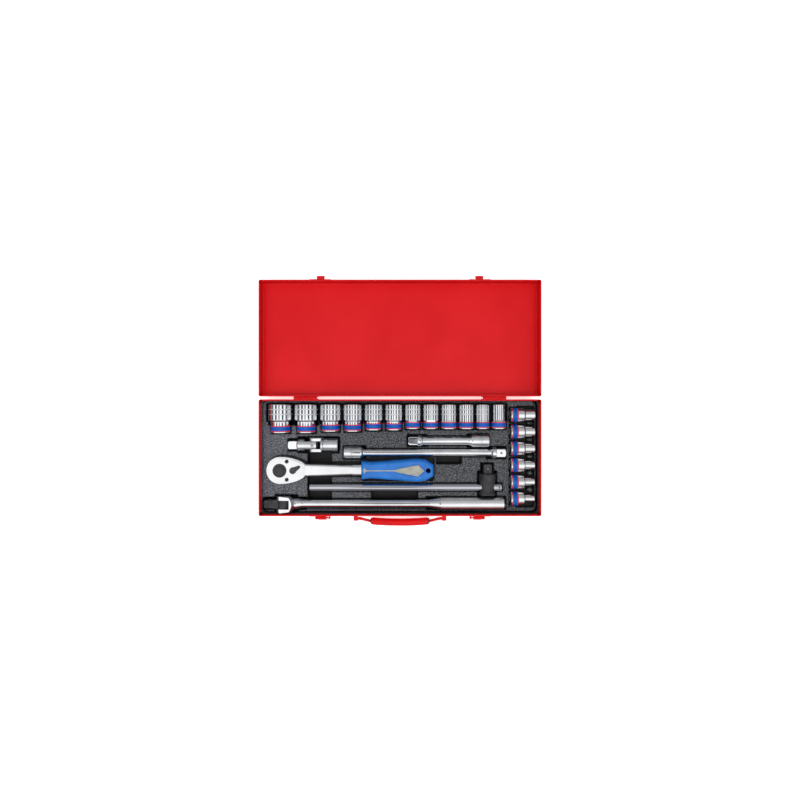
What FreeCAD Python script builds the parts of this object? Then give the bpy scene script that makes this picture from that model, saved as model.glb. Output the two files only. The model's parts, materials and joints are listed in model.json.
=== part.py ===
import FreeCAD, Part
import math
import os
from FreeCAD import Vector

# Socket wrench set in an open sheet-metal case.
# Millimetres. The origin is the centre of the base underside, +X runs along the case,
# +Y goes back to the hinges and +Z is up. The lid lies open, level with the base rim.

# Case
CASE_W = 431.0
CASE_D = 178.0
BASE_H = 37.0
LID_H = 20.0
SHEET = 0.9
BEND_R = 3.0
HEM_T = 2.2
HEM_H = 7.0
HEM_CORNER = 5.0
FRONT_Y = -CASE_D / 2

# Hinges
HINGE_X = 144.0
HINGE_W = 36.0
HINGE_AXIS_Y = CASE_D / 2 + 2.2
HINGE_AXIS_Z = BASE_H + 0.15
KNUCKLES = 5
KNUCKLE_R = 1.9
HINGE_PIN_R = 1.15
LEAF_T = 0.8
LEAF_H = 14.0
LID_Y = 2 * HINGE_AXIS_Y
LID_Z = BASE_H - LID_H
LID_FRONT_Y = LID_Y + CASE_D / 2

# Latches and lid catches
LATCH_X = 122.0
LATCH_PLATE_W = 33.0
LATCH_PLATE_H = 22.0
LATCH_PLATE_T = 1.0
LATCH_LEVER_W = 12.3
LATCH_PIVOT_OUT = 4.5
LATCH_PIVOT_Z = 29.0
LATCH_PIN_R = 1.2
LATCH_HANG = 20.0
LATCH_PLATE_Z = 13.0
LATCH_EAR_R = 2.6
LATCH_EAR_T = 1.2
LATCH_EAR_GAP = 0.4
LATCH_SLEEVE_R = 2.4
LATCH_NUB_X = 13.5
LATCH_NUB_R = 1.9
CATCH_W = 12.0
CATCH_OUT = 7.5
CATCH_PLATE_H = 15.0
CATCH_TAB_T = 1.2
CATCH_TAB_DROP = 8.0
CATCH_LIP = 2.0

# Carrying handle
HANDLE_PIVOT_X = 68.0
HANDLE_PIVOT_OUT = 5.5
HANDLE_PIVOT_Z = 28.0
HANDLE_DEPTH = 24.0
HANDLE_HANG = 25.0
HANDLE_ROD_R = 2.3
GRIP_HALF = 44.5
GRIP_R = 4.3
GRIP_BOW = 3.0
BRACKET_W = 16.0
BRACKET_T = 1.0
BRACKET_BELOW = 12.0
BRACKET_EYE_W = 6.0
BRACKET_EYE_T = 1.4
HANDLE_END = 3.5
HANDLE_INSET = 6.5
HANDLE_RADII = [4.0, 6.0, 300.0, 6.0, 4.0]

# Rivets
RIVET_R = 2.3
RIVET_H = 0.9
HINGE_RIVET_X = 11.0
HINGE_RIVET_UP = 5.0
LATCH_RIVET_X = 12.5
LATCH_RIVET_Z = 18.0
CATCH_RIVET_DROP = 9.0
BRACKET_RIVET_X = 4.6
BRACKET_RIVET_DROP = 8.0

# Tool tray
TRAY_TOP = 23.0
TRAY_GAP = 0.4
TRAY_CORNER_R = 8.0
TRAY_FOOT_CHAMFER = 2.5
SEAT_GAP = 0.3
SIDE_GAP = 1.2
END_GAP = 2.0
ABOVE = 40.0

# Sockets: size, hex-end diameter, drive-end diameter, length
ROW_SOCKETS = [
    (27, 37.4, 30.8, 44.0),
    (26, 36.6, 29.4, 44.0),
    (24, 33.4, 28.2, 42.0),
    (22, 29.7, 27.0, 42.0),
    (21, 29.0, 24.9, 40.0),
    (20, 27.8, 24.7, 40.0),
    (19, 25.4, 23.4, 38.0),
    (18, 24.8, 24.0, 38.0),
    (17, 24.0, 24.8, 38.0),
    (16, 23.4, 23.7, 38.0),
    (15, 21.5, 21.7, 38.0),
    (14, 20.3, 23.0, 38.0),
]
ROW_FIRST_X = -185.5
ROW_SPACE = 2.9
ROW_HEX_Y = 81.3
ROW_HEX_LEN = 24.0
ROW_DRIVE_LEN = 12.4
SIDE_SOCKETS = [(13, 18.8), (12, 17.5), (11, 16.5), (10, 15.0), (9, 13.7), (8, 12.5)]
SIDE_DRIVE_D = 22.3
SIDE_DRIVE_LEN = 20.8
SIDE_LEN = 37.5
SIDE_HEX_LEN = 14.7
SIDE_DRIVE_X = 170.8
SIDE_FIRST_Y = 64.8
SIDE_PITCH = 25.9
SOCKET_CHAMFER = 0.9

# Half-inch drive
TOOL_Z = 22.0
DRIVE_MALE = 12.6
DRIVE_FEMALE = 12.9
DRIVE_LEN = 14.5
MALE_CORNER_R = 8.5
MALE_CHAMFER = 1.5
BALL_R = 2.2
BALL_OUT = 0.9
BALL_BORE = 0.05

# Universal joint
UJ_X = -135.0
UJ_Y = 18.2
UJ_LEFT = -172.8
UJ_RIGHT = -95.6
UJ_FORK_R = 9.75
UJ_SOCKET_R = 10.5
UJ_TINE_R = 11.95
UJ_BLOCK = 5.9
UJ_SLOT = 6.2
UJ_EYE_R = 6.0
UJ_REACH = 12.5
UJ_PIN_R = 2.5

# Extension bars
SHORT_LEFT = 12.6
SHORT_LEN = 125.0
SHORT_Y = 24.7
SHORT_ROD_R = 7.0
LONG_LEFT = -86.6
LONG_LEN = 250.3
LONG_Y = 6.2
LONG_ROD_R = 6.0
EXT_SOCKET_R = 10.0
EXT_SOCKET_LEN = 25.0

# Ratchet handle
RATCHET_Y = -19.6
RATCHET_X = -183.5
HEAD_R = 20.5
HEAD_BOTTOM = 19.5
HEAD_TOP = 35.0
COVER_T = 1.8
NECK_X = -146.0
NECK_W = 19.0
SHANK_END_W = 12.8
FERRULE_X = -72.5
FERRULE_W = 15.6
FERRULE_T = 14.0
SHANK_Z = 28.0
SHANK_T = 12.0
GEAR_TEETH = 36
GEAR_TIP_R = 13.0
GEAR_ROOT_R = 11.9
GEAR_BOTTOM = 21.3
GEAR_TOP = 34.7
GEAR_HUB_R = 10.5
BUTTON_R = 7.0
BUTTON_STEM_R = 2.6
BUTTON_TRAVEL = 2.0
HUB_BOTTOM = HEAD_BOTTOM - 0.8
HUB_TOP = HEAD_TOP + COVER_T + 0.6
BUTTON_STEM_Z = HEAD_BOTTOM - 6.0
BUTTON_HEAD_Z = HEAD_TOP - 4.0
RATCHET_BALL_DOWN = DRIVE_LEN / 2 + 1.0
LEVER_X = -163.2
LEVER_SHAFT_R = 2.8
LEVER_REST = 31.0
LEVER_T = 2.3
LEVER_TAIL = 13.0
LEVER_DISC_R = 5.0
PAWL_ANGLE = 30.0
PAWL_SWING = 5.5
PAWL_HUB_R = 4.6
PAWL_TIP = 0.45
PAWL_TIP_R = (GEAR_TIP_R + GEAR_ROOT_R) / 2 + 0.15
PAWL_NOSE = 4.2
PAWL_WELL_X = 12.2
PAWL_WELL_R = 13.0
PAWL_ARM = 1.9
PAWL_Z0 = 22.5
PAWL_Z1 = 33.5
SCREW_X = -172.5
SCREW_Y = 13.8
SCREW_R = 1.6
SCREW_HEAD_R = 2.9
SCREW_HEAD_H = 1.2
SCREW_HEX = 2.6
RUN_FIT = 0.05
GRIP_X0 = -59.2
GRIP_X1 = 51.5
GRIP_MAX_X = 25.4
GRIP_W0 = 27.6
GRIP_WAIST_X = -44.6
GRIP_WAIST_W = 24.4
GRIP_TAIL_W = 17.0
GRIP_W1 = 34.8
GRIP_T = 20.0
GRIP_ROUND = 5.0
HANG_X = 43.0
HANG_R = 3.75
INLAY_T = 1.2
INLAY_PROUD = 0.25

# Sliding T-bar
TBAR_Y = -47.4
TBAR_X0 = -140.3
TBAR_X1 = 157.7
TBAR_R = 6.0
THEAD_X = 135.5
THEAD_R = 13.75
THEAD_BACK = 12.2
THEAD_FRONT = 21.4
THEAD_FLARE_R = 13.0
THEAD_WAIST_R = 11.2
THEAD_COLLAR_X = 12.4
THEAD_COLLAR_R = 13.2
THEAD_SWING_R = 14.6

# Hinge-handle breaker bar
BREAKER_Y = -72.8
BREAKER_X0 = -210.2
BREAKER_PIN_X = -180.4
BREAKER_X1 = 163.0
BREAKER_ROD_R = 6.0
BREAKER_GRIP_X = 62.2
BREAKER_GRIP_R = 10.0
FORK_R = 12.4
FORK_W = 25.0
FORK_END_X = -160.0
KNUCKLE_W = 13.0
KNUCKLE_DISC_R = 10.3
BREAKER_PIN_R = 3.0


def block(x0, x1, y0, y1, z0, z1):
    return Part.makeBox(x1 - x0, y1 - y0, z1 - z0, Vector(x0, y0, z0))


def bar_x(x0, x1, y, z, r):
    return Part.makeCylinder(r, x1 - x0, Vector(x0, y, z), Vector(1, 0, 0))


def bar_y(y0, y1, x, z, r):
    return Part.makeCylinder(r, y1 - y0, Vector(x, y0, z), Vector(0, 1, 0))


def bar_z(z0, z1, x, y, r):
    return Part.makeCylinder(r, z1 - z0, Vector(x, y, z0), Vector(0, 0, 1))


def joined(shapes):
    return shapes[0].fuse(list(shapes[1:])).removeSplitter()


def slab(points, z0, z1):
    """Plan outline of (x, y) points, extruded from z0 to z1."""
    corners = [Vector(x, y, z0) for x, y in points]
    return Part.Face(Part.makePolygon(corners + corners[:1])).extrude(Vector(0, 0, z1 - z0))


def side_slab(points, x0, x1):
    """Side outline of (y, z) points, extruded from x0 to x1."""
    corners = [Vector(x0, y, z) for y, z in points]
    return Part.Face(Part.makePolygon(corners + corners[:1])).extrude(Vector(x1 - x0, 0, 0))


def turned(outline):
    """Solid of revolution about X from (x, radius) points, closed along the axis."""
    first, last = outline[0][0], outline[-1][0]
    corners = [Vector(first, 0, 0)]
    corners += [Vector(x, r, 0) for x, r in outline]
    corners += [Vector(last, 0, 0)]
    face = Part.Face(Part.makePolygon(corners + corners[:1]))
    return face.revolve(Vector(0, 0, 0), Vector(1, 0, 0), 360)


def prism_x(sides, across_flats, x0, x1):
    """Prism along X with one flat facing up."""
    radius = across_flats / 2 / math.cos(math.pi / sides)
    angles = [math.pi / 2 + math.pi / sides + 2 * math.pi * i / sides for i in range(sides)]
    corners = [Vector(x0, radius * math.cos(a), radius * math.sin(a)) for a in angles]
    return Part.Face(Part.makePolygon(corners + corners[:1])).extrude(Vector(x1 - x0, 0, 0))


def placed(shape, x, y, z, turn=0.0):
    """Copy of a shape turned about Z and moved to a point."""
    moved = shape.copy()
    moved.Placement = FreeCAD.Placement(Vector(x, y, z), FreeCAD.Rotation(Vector(0, 0, 1), turn))
    return moved


def upright(shape):
    """Copy of a shape drawn along X, stood up along Z."""
    moved = shape.copy()
    moved.rotate(Vector(0, 0, 0), Vector(0, 1, 0), -90)
    return moved


def placed_at(shape, x, y):
    moved = shape.copy()
    moved.translate(Vector(x, y, 0))
    return moved


def turned_about_x(shape, y, z, angle):
    moved = shape.copy()
    moved.rotate(Vector(0, y, z), Vector(1, 0, 0), angle)
    return moved


def mirrored_pair(shape):
    return Part.makeCompound([shape, shape.mirror(Vector(0, 0, 0), Vector(1, 0, 0))])


def save(shape, node):
    shape.exportStep("parts/" + node + ".step")


# Case

def rounded_box(width, depth, height, radius):
    """Box standing on z = 0 with rounded upright and bottom edges."""
    solid = block(-width / 2, width / 2, -depth / 2, depth / 2, 0, height)
    edges = [e for e in solid.Edges if min(v.Z for v in e.Vertexes) < height / 2]
    return solid.makeFillet(radius, edges)


def sheet_pan(height):
    """Folded sheet pan, open at the top, with a hem inside each wall."""
    outer = rounded_box(CASE_W, CASE_D, height, BEND_R)
    inner = rounded_box(CASE_W - 2 * SHEET, CASE_D - 2 * SHEET, height, BEND_R - SHEET)
    shell = outer.cut(placed(inner, 0, 0, SHEET))
    wall_x = CASE_W / 2 - SHEET
    wall_y = CASE_D / 2 - SHEET
    end_x = CASE_W / 2 - HEM_CORNER
    end_y = CASE_D / 2 - HEM_CORNER
    fold = HEM_T - SHEET
    hem_z = height - HEM_H
    hems = [
        block(-end_x, end_x, wall_y - fold, wall_y, hem_z, height),
        block(-end_x, end_x, -wall_y, -wall_y + fold, hem_z, height),
        block(wall_x - fold, wall_x, -end_y, end_y, hem_z, height),
        block(-wall_x, -wall_x + fold, -end_y, end_y, hem_z, height),
    ]
    return joined([shell] + hems)


def hinge_leaf(first, plate_y0, plate_y1):
    """One hinge leaf: a plate rolled into every other knuckle, starting with the first or second."""
    left = HINGE_X - HINGE_W / 2
    knuckle_w = HINGE_W / KNUCKLES
    gap = 0.2
    plate = block(left, left + HINGE_W, plate_y0, plate_y1, HINGE_AXIS_Z - LEAF_H, HINGE_AXIS_Z - KNUCKLE_R - gap)
    pieces = [plate]
    for i in range(first, KNUCKLES, 2):
        x0 = left + i * knuckle_w + gap
        x1 = left + (i + 1) * knuckle_w - gap
        pieces.append(bar_x(x0, x1, HINGE_AXIS_Y, HINGE_AXIS_Z, KNUCKLE_R))
        pieces.append(block(x0, x1, plate_y0, plate_y1, HINGE_AXIS_Z - KNUCKLE_R - gap, HINGE_AXIS_Z))
    bore = bar_x(left - 1, left + HINGE_W + 1, HINGE_AXIS_Y, HINGE_AXIS_Z, HINGE_PIN_R + RUN_FIT)
    return joined(pieces).cut(bore)


def hinge_pin():
    left = HINGE_X - HINGE_W / 2
    return bar_x(left, left + HINGE_W, HINGE_AXIS_Y, HINGE_AXIS_Z, HINGE_PIN_R)


def latch_plate():
    """Base plate with two ears that carry the lever's pin."""
    half = LATCH_PLATE_W / 2
    pivot_y = FRONT_Y - LATCH_PIVOT_OUT
    z = LATCH_PIVOT_Z
    pieces = [block(LATCH_X - half, LATCH_X + half, FRONT_Y - LATCH_PLATE_T, FRONT_Y,
                    LATCH_PLATE_Z, LATCH_PLATE_Z + LATCH_PLATE_H)]
    for side in (-1, 1):
        middle = LATCH_X + side * (LATCH_LEVER_W / 2 + LATCH_EAR_GAP + LATCH_EAR_T / 2)
        x0 = middle - LATCH_EAR_T / 2
        x1 = middle + LATCH_EAR_T / 2
        pieces.append(bar_x(x0, x1, pivot_y, z, LATCH_EAR_R))
        pieces.append(block(x0, x1, pivot_y, FRONT_Y, z - LATCH_EAR_R, z + LATCH_EAR_R))
    return joined(pieces).cut(bar_x(LATCH_X - half, LATCH_X + half, pivot_y, z, LATCH_PIN_R))


def latch_pin():
    """Wire pin of the lever, with a rounded end that stands out on the inner side."""
    pivot_y = FRONT_Y - LATCH_PIVOT_OUT
    inner = LATCH_X - LATCH_NUB_X
    outer = LATCH_X + LATCH_LEVER_W / 2 + LATCH_EAR_GAP + 2 * LATCH_EAR_T
    wire = bar_x(inner, outer, pivot_y, LATCH_PIVOT_Z, LATCH_PIN_R)
    return joined([wire, Part.makeSphere(LATCH_NUB_R, Vector(inner, pivot_y, LATCH_PIVOT_Z))])


def latch_lever(x):
    """Hasp lever, drawn closed and then hung: a strip rolled round the pin, with a hook and a finger lip."""
    pivot_y = FRONT_Y - LATCH_PIVOT_OUT
    x0 = x - LATCH_LEVER_W / 2
    x1 = x + LATCH_LEVER_W / 2
    strip = [(0.0, 1.2), (8.0, 3.6), (18.6, 3.6), (18.6, -1.2), (20.0, -1.2), (20.0, 4.0), (25.0, 6.6),
             (24.5, 7.7), (18.5, 4.9), (7.8, 4.9), (0.0, 2.4)]
    outline = [(pivot_y - out, LATCH_PIVOT_Z + along) for along, out in strip]
    lever = joined([side_slab(outline, x0, x1), bar_x(x0, x1, pivot_y, LATCH_PIVOT_Z, LATCH_SLEEVE_R)])
    lever = lever.cut(bar_x(x0, x1, pivot_y, LATCH_PIVOT_Z, LATCH_PIN_R + RUN_FIT))
    return turned_about_x(lever, pivot_y, LATCH_PIVOT_Z, 180 - LATCH_HANG)


def lid_catch():
    """Catch on the lid front: a plate with a bent tab that the lever hooks over."""
    top = BASE_H - 1.5
    tab_z = BASE_H - CATCH_TAB_DROP
    half = LATCH_PLATE_W / 2
    x0 = LATCH_X - CATCH_W / 2
    x1 = LATCH_X + CATCH_W / 2
    y0 = LID_FRONT_Y
    y1 = LID_FRONT_Y + CATCH_OUT
    return joined([
        block(LATCH_X - half, LATCH_X + half, y0, y0 + LATCH_PLATE_T, top - CATCH_PLATE_H, top),
        block(x0, x1, y0, y1, tab_z, tab_z + CATCH_TAB_T),
        block(x0, x1, y1 - CATCH_TAB_T, y1, tab_z - CATCH_LIP, tab_z + CATCH_TAB_T),
    ])


def rivet_heads(points, wall_y, outward):
    """Round rivet heads at (x, z) points and their mirror images, on a wall facing -Y or +Y."""
    head = turned([(0.0, RIVET_R), (RIVET_H / 3, RIVET_R), (RIVET_H, RIVET_R * 0.55)])
    return [placed(head, side * x, wall_y, z, 90.0 * outward) for x, z in points for side in (-1, 1)]


def hinge_rivet_points():
    z = HINGE_AXIS_Z - LEAF_H + HINGE_RIVET_UP
    return [(HINGE_X - HINGE_RIVET_X, z), (HINGE_X + HINGE_RIVET_X, z)]


def base_rivets():
    """Heads on the base: latch plates, handle brackets and hinge leaves."""
    plate = [(LATCH_X - LATCH_RIVET_X, LATCH_RIVET_Z), (LATCH_X + LATCH_RIVET_X, LATCH_RIVET_Z)]
    bracket_z = HANDLE_PIVOT_Z - BRACKET_RIVET_DROP
    bracket = [(HANDLE_PIVOT_X - BRACKET_RIVET_X, bracket_z), (HANDLE_PIVOT_X + BRACKET_RIVET_X, bracket_z)]
    heads = rivet_heads(plate, FRONT_Y - LATCH_PLATE_T, -1)
    heads += rivet_heads(bracket, FRONT_Y - BRACKET_T, -1)
    heads += rivet_heads(hinge_rivet_points(), CASE_D / 2 + LEAF_T, 1)
    return Part.makeCompound(heads)


def lid_rivets():
    """Heads on the lid: catch plates and hinge leaves."""
    catch_z = BASE_H - CATCH_RIVET_DROP
    catch = [(LATCH_X - LATCH_RIVET_X, catch_z), (LATCH_X + LATCH_RIVET_X, catch_z)]
    heads = rivet_heads(catch, LID_FRONT_Y + LATCH_PLATE_T, 1)
    heads += rivet_heads(hinge_rivet_points(), LID_Y - CASE_D / 2 - LEAF_T, -1)
    return Part.makeCompound(heads)


def handle_bracket():
    """Folded bracket with an eye for the handle end."""
    pivot_y = FRONT_Y - HANDLE_PIVOT_OUT
    x = HANDLE_PIVOT_X
    z = HANDLE_PIVOT_Z
    eye_r = HANDLE_ROD_R + BRACKET_EYE_T
    plate = block(x - BRACKET_W / 2, x + BRACKET_W / 2, FRONT_Y - BRACKET_T, FRONT_Y, z - BRACKET_BELOW, z + eye_r)
    eye = bar_x(x - BRACKET_EYE_W / 2, x + BRACKET_EYE_W / 2, pivot_y, z, eye_r)
    web = block(x - BRACKET_EYE_W / 2, x + BRACKET_EYE_W / 2, pivot_y, FRONT_Y, z, z + eye_r)
    bore = bar_x(x - BRACKET_W, x + BRACKET_W, pivot_y, z, HANDLE_ROD_R + RUN_FIT)
    return joined([plate, eye, web]).cut(bore)


def rounded_path(points, radii):
    """Straight runs joined by tangent arcs at the inner points."""
    edges = []
    start = points[0]
    for i in range(1, len(points) - 1):
        before = (points[i - 1] - points[i]).normalize()
        after = (points[i + 1] - points[i]).normalize()
        half = before.getAngle(after) / 2
        reach = radii[i - 1] / math.tan(half)
        bisector = (before + after).normalize()
        a = points[i] + before * reach
        b = points[i] + after * reach
        middle = points[i] + bisector * (radii[i - 1] / math.sin(half) - radii[i - 1])
        edges.append(Part.LineSegment(start, a).toShape())
        edges.append(Part.Arc(a, middle, b).toShape())
        start = b
    edges.append(Part.LineSegment(start, points[-1]).toShape())
    return Part.Wire(edges)


def tube(path, radius):
    start = path.Edges[0].Vertexes[0].Point
    heading = path.Edges[0].tangentAt(path.Edges[0].FirstParameter)
    circle = Part.Wire(Part.makeCircle(radius, start, heading))
    return path.makePipeShell([circle], True, False)


def handle_points():
    """Corner points of the hanging bail, drawn upright below its pivots."""
    y = FRONT_Y - HANDLE_PIVOT_OUT
    z = HANDLE_PIVOT_Z
    half = [
        Vector(HANDLE_PIVOT_X + HANDLE_END, y, z),
        Vector(HANDLE_PIVOT_X - HANDLE_INSET, y, z),
        Vector(GRIP_HALF + 3, y, z - HANDLE_DEPTH + GRIP_BOW),
    ]
    middle = Vector(0, y, z - HANDLE_DEPTH - GRIP_BOW)
    return half + [middle] + [Vector(-p.x, p.y, p.z) for p in reversed(half)]


def hung(shape):
    y = FRONT_Y - HANDLE_PIVOT_OUT
    return turned_about_x(shape, y, HANDLE_PIVOT_Z, -HANDLE_HANG)


def handle_bail():
    return hung(tube(rounded_path(handle_points(), HANDLE_RADII), HANDLE_ROD_R))


def handle_grip():
    """Moulded grip round the middle of the bail, following its bow."""
    middle = rounded_path(handle_points()[2:5], HANDLE_RADII[2:3])
    body = tube(middle, GRIP_R).cut(tube(middle, HANDLE_ROD_R))
    keep = block(-GRIP_HALF, GRIP_HALF, -CASE_D, 0, -BASE_H, BASE_H)
    return hung(body.common(keep))


# Sockets and drives

def socket(size, hex_d, drive_d, length, drive_len, hex_len):
    """Socket along X with its square drive at x = 0 and its hexagon mouth at x = length."""
    drive_r = drive_d / 2
    hex_r = hex_d / 2
    c = SOCKET_CHAMFER
    body = turned([(0, drive_r - c), (c, drive_r), (drive_len, drive_r), (length - hex_len, hex_r),
                   (length - c, hex_r), (length, hex_r - c)])
    bore_r = min(0.44 * size, 0.46 * DRIVE_FEMALE)
    body = body.cut(prism_x(4, DRIVE_FEMALE, -1, DRIVE_LEN))
    body = body.cut(bar_x(0, length, 0, 0, bore_r))
    return body.cut(prism_x(6, size + 0.2, length - 0.62 * hex_len, length + 1))


def row_centres():
    centres = []
    x = ROW_FIRST_X
    for i, (size, hex_d, drive_d, length) in enumerate(ROW_SOCKETS):
        width = max(hex_d, drive_d)
        if i:
            x += (last_width + width) / 2 + ROW_SPACE
        centres.append(x)
        last_width = width
    return centres


def side_centre(i):
    return SIDE_FIRST_Y - i * SIDE_PITCH


def male_square(x0, x1, tip):
    """Square drive from x0 to x1 along X with rounded corners and a chamfer at its tip end."""
    r = MALE_CORNER_R
    c = MALE_CHAMFER
    if tip == x0:
        sleeve = [(x0, r - c), (x0 + c, r), (x1, r)]
    else:
        sleeve = [(x0, r), (x1 - c, r), (x1, r - c)]
    return prism_x(4, DRIVE_MALE, x0, x1).common(turned(sleeve))


def ball_depth():
    """Distance of a detent ball's centre from the axis of its square."""
    return DRIVE_MALE / 2 + BALL_OUT - BALL_R


def ball_bore(along, direction):
    """Blind hole for a detent ball in a square on the X axis."""
    bottom = ball_depth() - BALL_R - BALL_OUT
    return Part.makeCylinder(BALL_R + BALL_BORE, DRIVE_MALE, Vector(along, 0, 0) + direction * bottom, direction)


def ball_at(along, direction):
    return Part.makeSphere(BALL_R, Vector(along, 0, 0) + direction * ball_depth())


def extension(length, rod_r):
    """Extension bar along X: square at x = 0, rod, and a socket end."""
    shoulder = DRIVE_LEN + 1.0
    mouth = length - EXT_SOCKET_LEN
    body = turned([(DRIVE_LEN - 1.0, MALE_CORNER_R - 0.3), (shoulder, MALE_CORNER_R + 0.6),
                   (shoulder + 4, MALE_CORNER_R + 0.6), (shoulder + 8, rod_r), (mouth - 7, rod_r),
                   (mouth, EXT_SOCKET_R), (length - 1, EXT_SOCKET_R), (length, EXT_SOCKET_R - 1)])
    body = joined([body, male_square(0, DRIVE_LEN, 0)])
    body = body.cut(prism_x(4, DRIVE_FEMALE, length - DRIVE_LEN, length + 1))
    return body


UP = Vector(0, 0, 1)
REAR = Vector(0, 1, 0)
BALL_ALONG = DRIVE_LEN / 2


def extension_short():
    body = extension(SHORT_LEN, SHORT_ROD_R).cut(ball_bore(BALL_ALONG, REAR))
    return placed(body, SHORT_LEFT, SHORT_Y, TOOL_Z)


def extension_long():
    """Long bar, turned end for end in the tray, with its ball on top."""
    body = extension(LONG_LEN, LONG_ROD_R).cut(ball_bore(BALL_ALONG, UP))
    return placed(body, LONG_LEFT + LONG_LEN, LONG_Y, TOOL_Z, 180)


# Universal joint, drawn about its centre on the X axis

def uj_drive_fork():
    """Square drive and a fork whose tines lie above and below the centre block."""
    left = UJ_LEFT - UJ_X
    shoulder = left + DRIVE_LEN
    body = turned([(shoulder - 1, MALE_CORNER_R - 0.3), (shoulder, UJ_FORK_R - 0.8), (shoulder + 0.8, UJ_FORK_R),
                   (UJ_EYE_R, UJ_FORK_R)])
    body = body.cut(block(-UJ_REACH, UJ_REACH, -UJ_FORK_R, UJ_FORK_R, -UJ_SLOT, UJ_SLOT))
    for y0, y1 in ((-UJ_TINE_R, -UJ_BLOCK), (UJ_BLOCK, UJ_TINE_R)):
        body = body.cut(block(-UJ_REACH, UJ_REACH, y0, y1, -UJ_FORK_R, UJ_FORK_R))
    body = joined([body, male_square(left, shoulder, left)])
    return body.cut(bar_z(-UJ_TINE_R, UJ_TINE_R, 0, 0, UJ_PIN_R))


def uj_socket_fork():
    right = UJ_RIGHT - UJ_X
    base = turned([(UJ_REACH, UJ_TINE_R - 1), (UJ_REACH + 1, UJ_TINE_R), (UJ_REACH + 3, UJ_TINE_R),
                   (UJ_REACH + 5, UJ_SOCKET_R), (right - 1, UJ_SOCKET_R), (right, UJ_SOCKET_R - 1)])
    pieces = [base]
    for y0, y1 in ((-UJ_TINE_R, -UJ_SLOT), (UJ_SLOT, UJ_TINE_R)):
        tine = joined([block(0, UJ_REACH + 2, y0, y1, -UJ_EYE_R, UJ_EYE_R), bar_y(y0, y1, 0, 0, UJ_EYE_R)])
        pieces.append(tine.common(bar_x(-UJ_REACH, UJ_REACH + 2, 0, 0, UJ_TINE_R)))
    fork = joined(pieces)
    fork = fork.cut(prism_x(4, DRIVE_FEMALE, right - DRIVE_LEN, right + 1))
    return fork.cut(bar_y(-UJ_TINE_R, UJ_TINE_R, 0, 0, UJ_PIN_R + RUN_FIT))


def uj_cross():
    cube = block(-UJ_BLOCK, UJ_BLOCK, -UJ_BLOCK, UJ_BLOCK, -UJ_BLOCK, UJ_BLOCK)
    cube = cube.common(Part.makeSphere(UJ_BLOCK * 1.5, Vector(0, 0, 0)))
    cube = cube.cut(bar_z(-UJ_BLOCK, UJ_BLOCK, 0, 0, UJ_PIN_R))
    return cube.cut(bar_y(-UJ_BLOCK, UJ_BLOCK, 0, 0, UJ_PIN_R))


def uj_pins():
    """One long pin through the drive fork and two short ones for the socket fork."""
    reach = math.sqrt(UJ_FORK_R ** 2 - UJ_PIN_R ** 2)
    side = math.sqrt(UJ_TINE_R ** 2 - UJ_PIN_R ** 2)
    return Part.makeCompound([
        bar_z(-reach, reach, 0, 0, UJ_PIN_R),
        bar_y(UJ_PIN_R, side, 0, 0, UJ_PIN_R).cut(bar_z(-reach, reach, 0, 0, UJ_PIN_R)),
        bar_y(-side, -UJ_PIN_R, 0, 0, UJ_PIN_R).cut(bar_z(-reach, reach, 0, 0, UJ_PIN_R)),
    ])


def in_uj(shape):
    return placed(shape, UJ_X, UJ_Y, TOOL_Z)


# Ratchet, drawn in place

def head_plan(inset, z0, z1):
    """Pear-shaped plan of the ratchet head, narrowing to the neck."""
    round_end = bar_z(z0, z1, RATCHET_X, RATCHET_Y, HEAD_R - inset)
    span = NECK_X - RATCHET_X
    half = NECK_W / 2 - inset
    tangent = math.acos((HEAD_R - inset - half) / span)
    x = RATCHET_X + (HEAD_R - inset) * math.cos(tangent)
    y = (HEAD_R - inset) * math.sin(tangent)
    end = NECK_X - inset
    taper = slab([(x, RATCHET_Y - y), (end, RATCHET_Y - half), (end, RATCHET_Y + half), (x, RATCHET_Y + y)], z0, z1)
    return joined([round_end, taper])


def ratchet_body():
    """Forged head with its gear and pawl cavities, and a tapering shank that ends inside the grip."""
    head = head_plan(0, HEAD_BOTTOM, HEAD_TOP)
    w0 = NECK_W / 2
    w1 = SHANK_END_W / 2
    tail = GRIP_X0 + 70
    half_t = SHANK_T / 2
    shank = slab([(NECK_X - 1, RATCHET_Y - w0), (GRIP_X0, RATCHET_Y - w1), (tail, RATCHET_Y - w1),
                  (tail, RATCHET_Y + w1), (GRIP_X0, RATCHET_Y + w1), (NECK_X - 1, RATCHET_Y + w0)],
                 SHANK_Z - half_t, SHANK_Z + half_t)
    long_edges = [e for e in shank.Edges if e.BoundBox.XLength > 20]
    ferrule = block(FERRULE_X, GRIP_X0, RATCHET_Y - FERRULE_W / 2, RATCHET_Y + FERRULE_W / 2,
                    SHANK_Z - FERRULE_T / 2, SHANK_Z + FERRULE_T / 2)
    ferrule_edges = [e for e in ferrule.Edges if e.BoundBox.XLength > 5]
    body = joined([head, shank.makeFillet(3.0, long_edges), ferrule.makeFillet(4.0, ferrule_edges)])
    body = body.cut(bar_z(GEAR_BOTTOM - 0.3, HEAD_TOP, RATCHET_X, RATCHET_Y, GEAR_TIP_R + 0.4))
    body = body.cut(bar_z(0, HEAD_TOP, RATCHET_X, RATCHET_Y, GEAR_HUB_R + RUN_FIT))
    body = body.cut(bar_z(PAWL_Z0 - 0.4, HEAD_TOP, LEVER_X, RATCHET_Y, PAWL_HUB_R + 4))
    return body.cut(bar_z(PAWL_Z0 - 0.4, HEAD_TOP, RATCHET_X + PAWL_WELL_X, RATCHET_Y, PAWL_WELL_R))


def screw_places():
    return [(SCREW_X, RATCHET_Y + SCREW_Y), (SCREW_X, RATCHET_Y - SCREW_Y)]


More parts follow.
